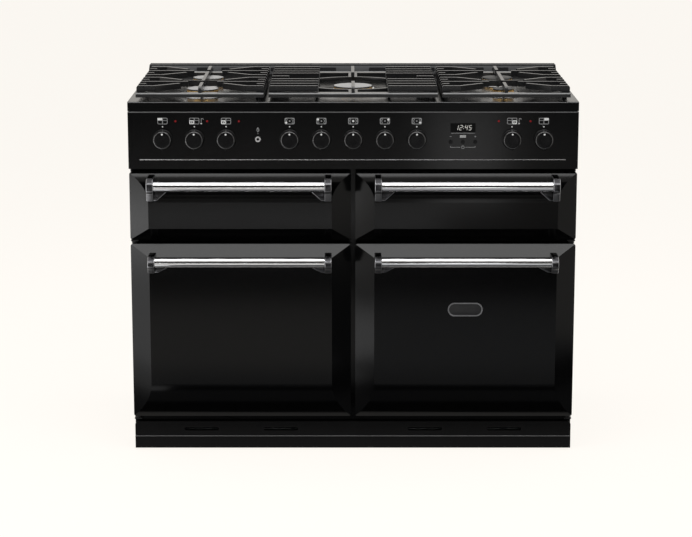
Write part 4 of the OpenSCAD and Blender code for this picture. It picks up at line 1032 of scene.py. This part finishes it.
# Floor cards, from the plinth outwards: x and y range, grey value, glow
strip("card_skirting", -1.5, 1.5, -0.40, -0.30, 0.0)
strip("card_plinth", -1.5, 1.5, -0.61, -0.40, 0.16)
strip("card_near", -1.5, 1.5, -0.83, -0.61, 0.0)
strip("card_next", -1.5, 1.5, -1.09, -0.83, 0.42)
strip("card_right_doors", 0.03, 1.2, -2.01, -1.09, 0.62)
strip("card_middle", -1.5, 1.5, -3.25, -2.01, 0.0)
strip("card_pale_left", -2.2, 0.35, -3.54, -3.27, 0.0, 6.4)
strip("card_handles", -2.5, 2.5, -4.38, -3.72, 0.0)
strip("card_far", -1.0, 6.0, -6.6, -5.5, 0.55)
strip("card_farther", -1.0, 6.0, -12.0, -6.6, 0.32)
strip("card_far_side", -7.0, -1.0, -12.0, -5.2, 0.26)
# Side cards, for the sloping borders of the doors
on_floor("card_right", [(0.62, -0.60), (0.85, -2.0), (2.55, -2.0), (0.95, -0.60)], 0.08, 0.0, LIFT_OVER)
strip("card_left_foot", -2.6, -0.50, -0.76, -0.60, 0.0, 1.7, LIFT_OVER)
strip("card_left", -2.7, -0.68, -1.29, -0.76, 0.0, 3.4, LIFT_OVER)
strip("card_left_gap", -1.85, -1.2, -1.50, -1.29, 0.0, 0.0, LIFT_OVER)
strip("card_left_rear", -3.4, -1.85, -1.52, -1.29, 0.0, 3.2, LIFT_OVER)
strip("card_left_high", -2.45, -1.70, -1.78, -1.52, 0.0, 4.2, LIFT_TOP)
strip("card_left_dark", -2.45, -2.0, -1.98, -1.80, 0.0, 0.0, LIFT_TOP)
strip("card_left_far", -3.8, -2.45, -2.3, -1.52, 0.0, 6.2, LIFT_TOP)
card("card_low", [(-3.5, -6.4, 0.55), (3.5, -6.4, 0.55), (3.5, -6.4, 1.1), (-3.5, -6.4, 1.1)], 0.0)
card("card_high", [(-3.5, -6.4, 1.35), (3.5, -6.4, 1.35), (3.5, -6.4, 5.3), (-3.5, -6.4, 5.3)], 0.0)


def lamp(name, size_x, size_y, place, aim, radiance):
    """Area light that the camera doesn't see."""
    data = bpy.data.lights.new(name, "AREA")
    data.shape = "RECTANGLE"
    data.size = size_x
    data.size_y = size_y
    data.energy = radiance * math.pi * size_x * size_y
    obj = bpy.data.objects.new(name, data)
    obj.location = place
    direction = Vector(aim) - Vector(place)
    obj.rotation_euler = direction.to_track_quat("-Z", "Y").to_euler()
    obj.visible_camera = False
    bpy.context.collection.objects.link(obj)


lamp("overhead", 4.2, 3.4, (0.0, -0.4, 3.3), (0.0, -0.3, 0.0), 1.6)
lamp("overhead_front", 3.4, 0.55, (0.0, -1.75, 2.95), (0.0, -0.3, 0.6), 7.0)
lamp("left_front", 0.8, 1.7, (-2.1, -1.55, 0.95), (-0.4, -0.2, 0.5), 2.6)
lamp("right_strip", 0.26, 0.34, (0.405, -2.5, 0.42), (0.28, -0.27, 0.8), 2.2)
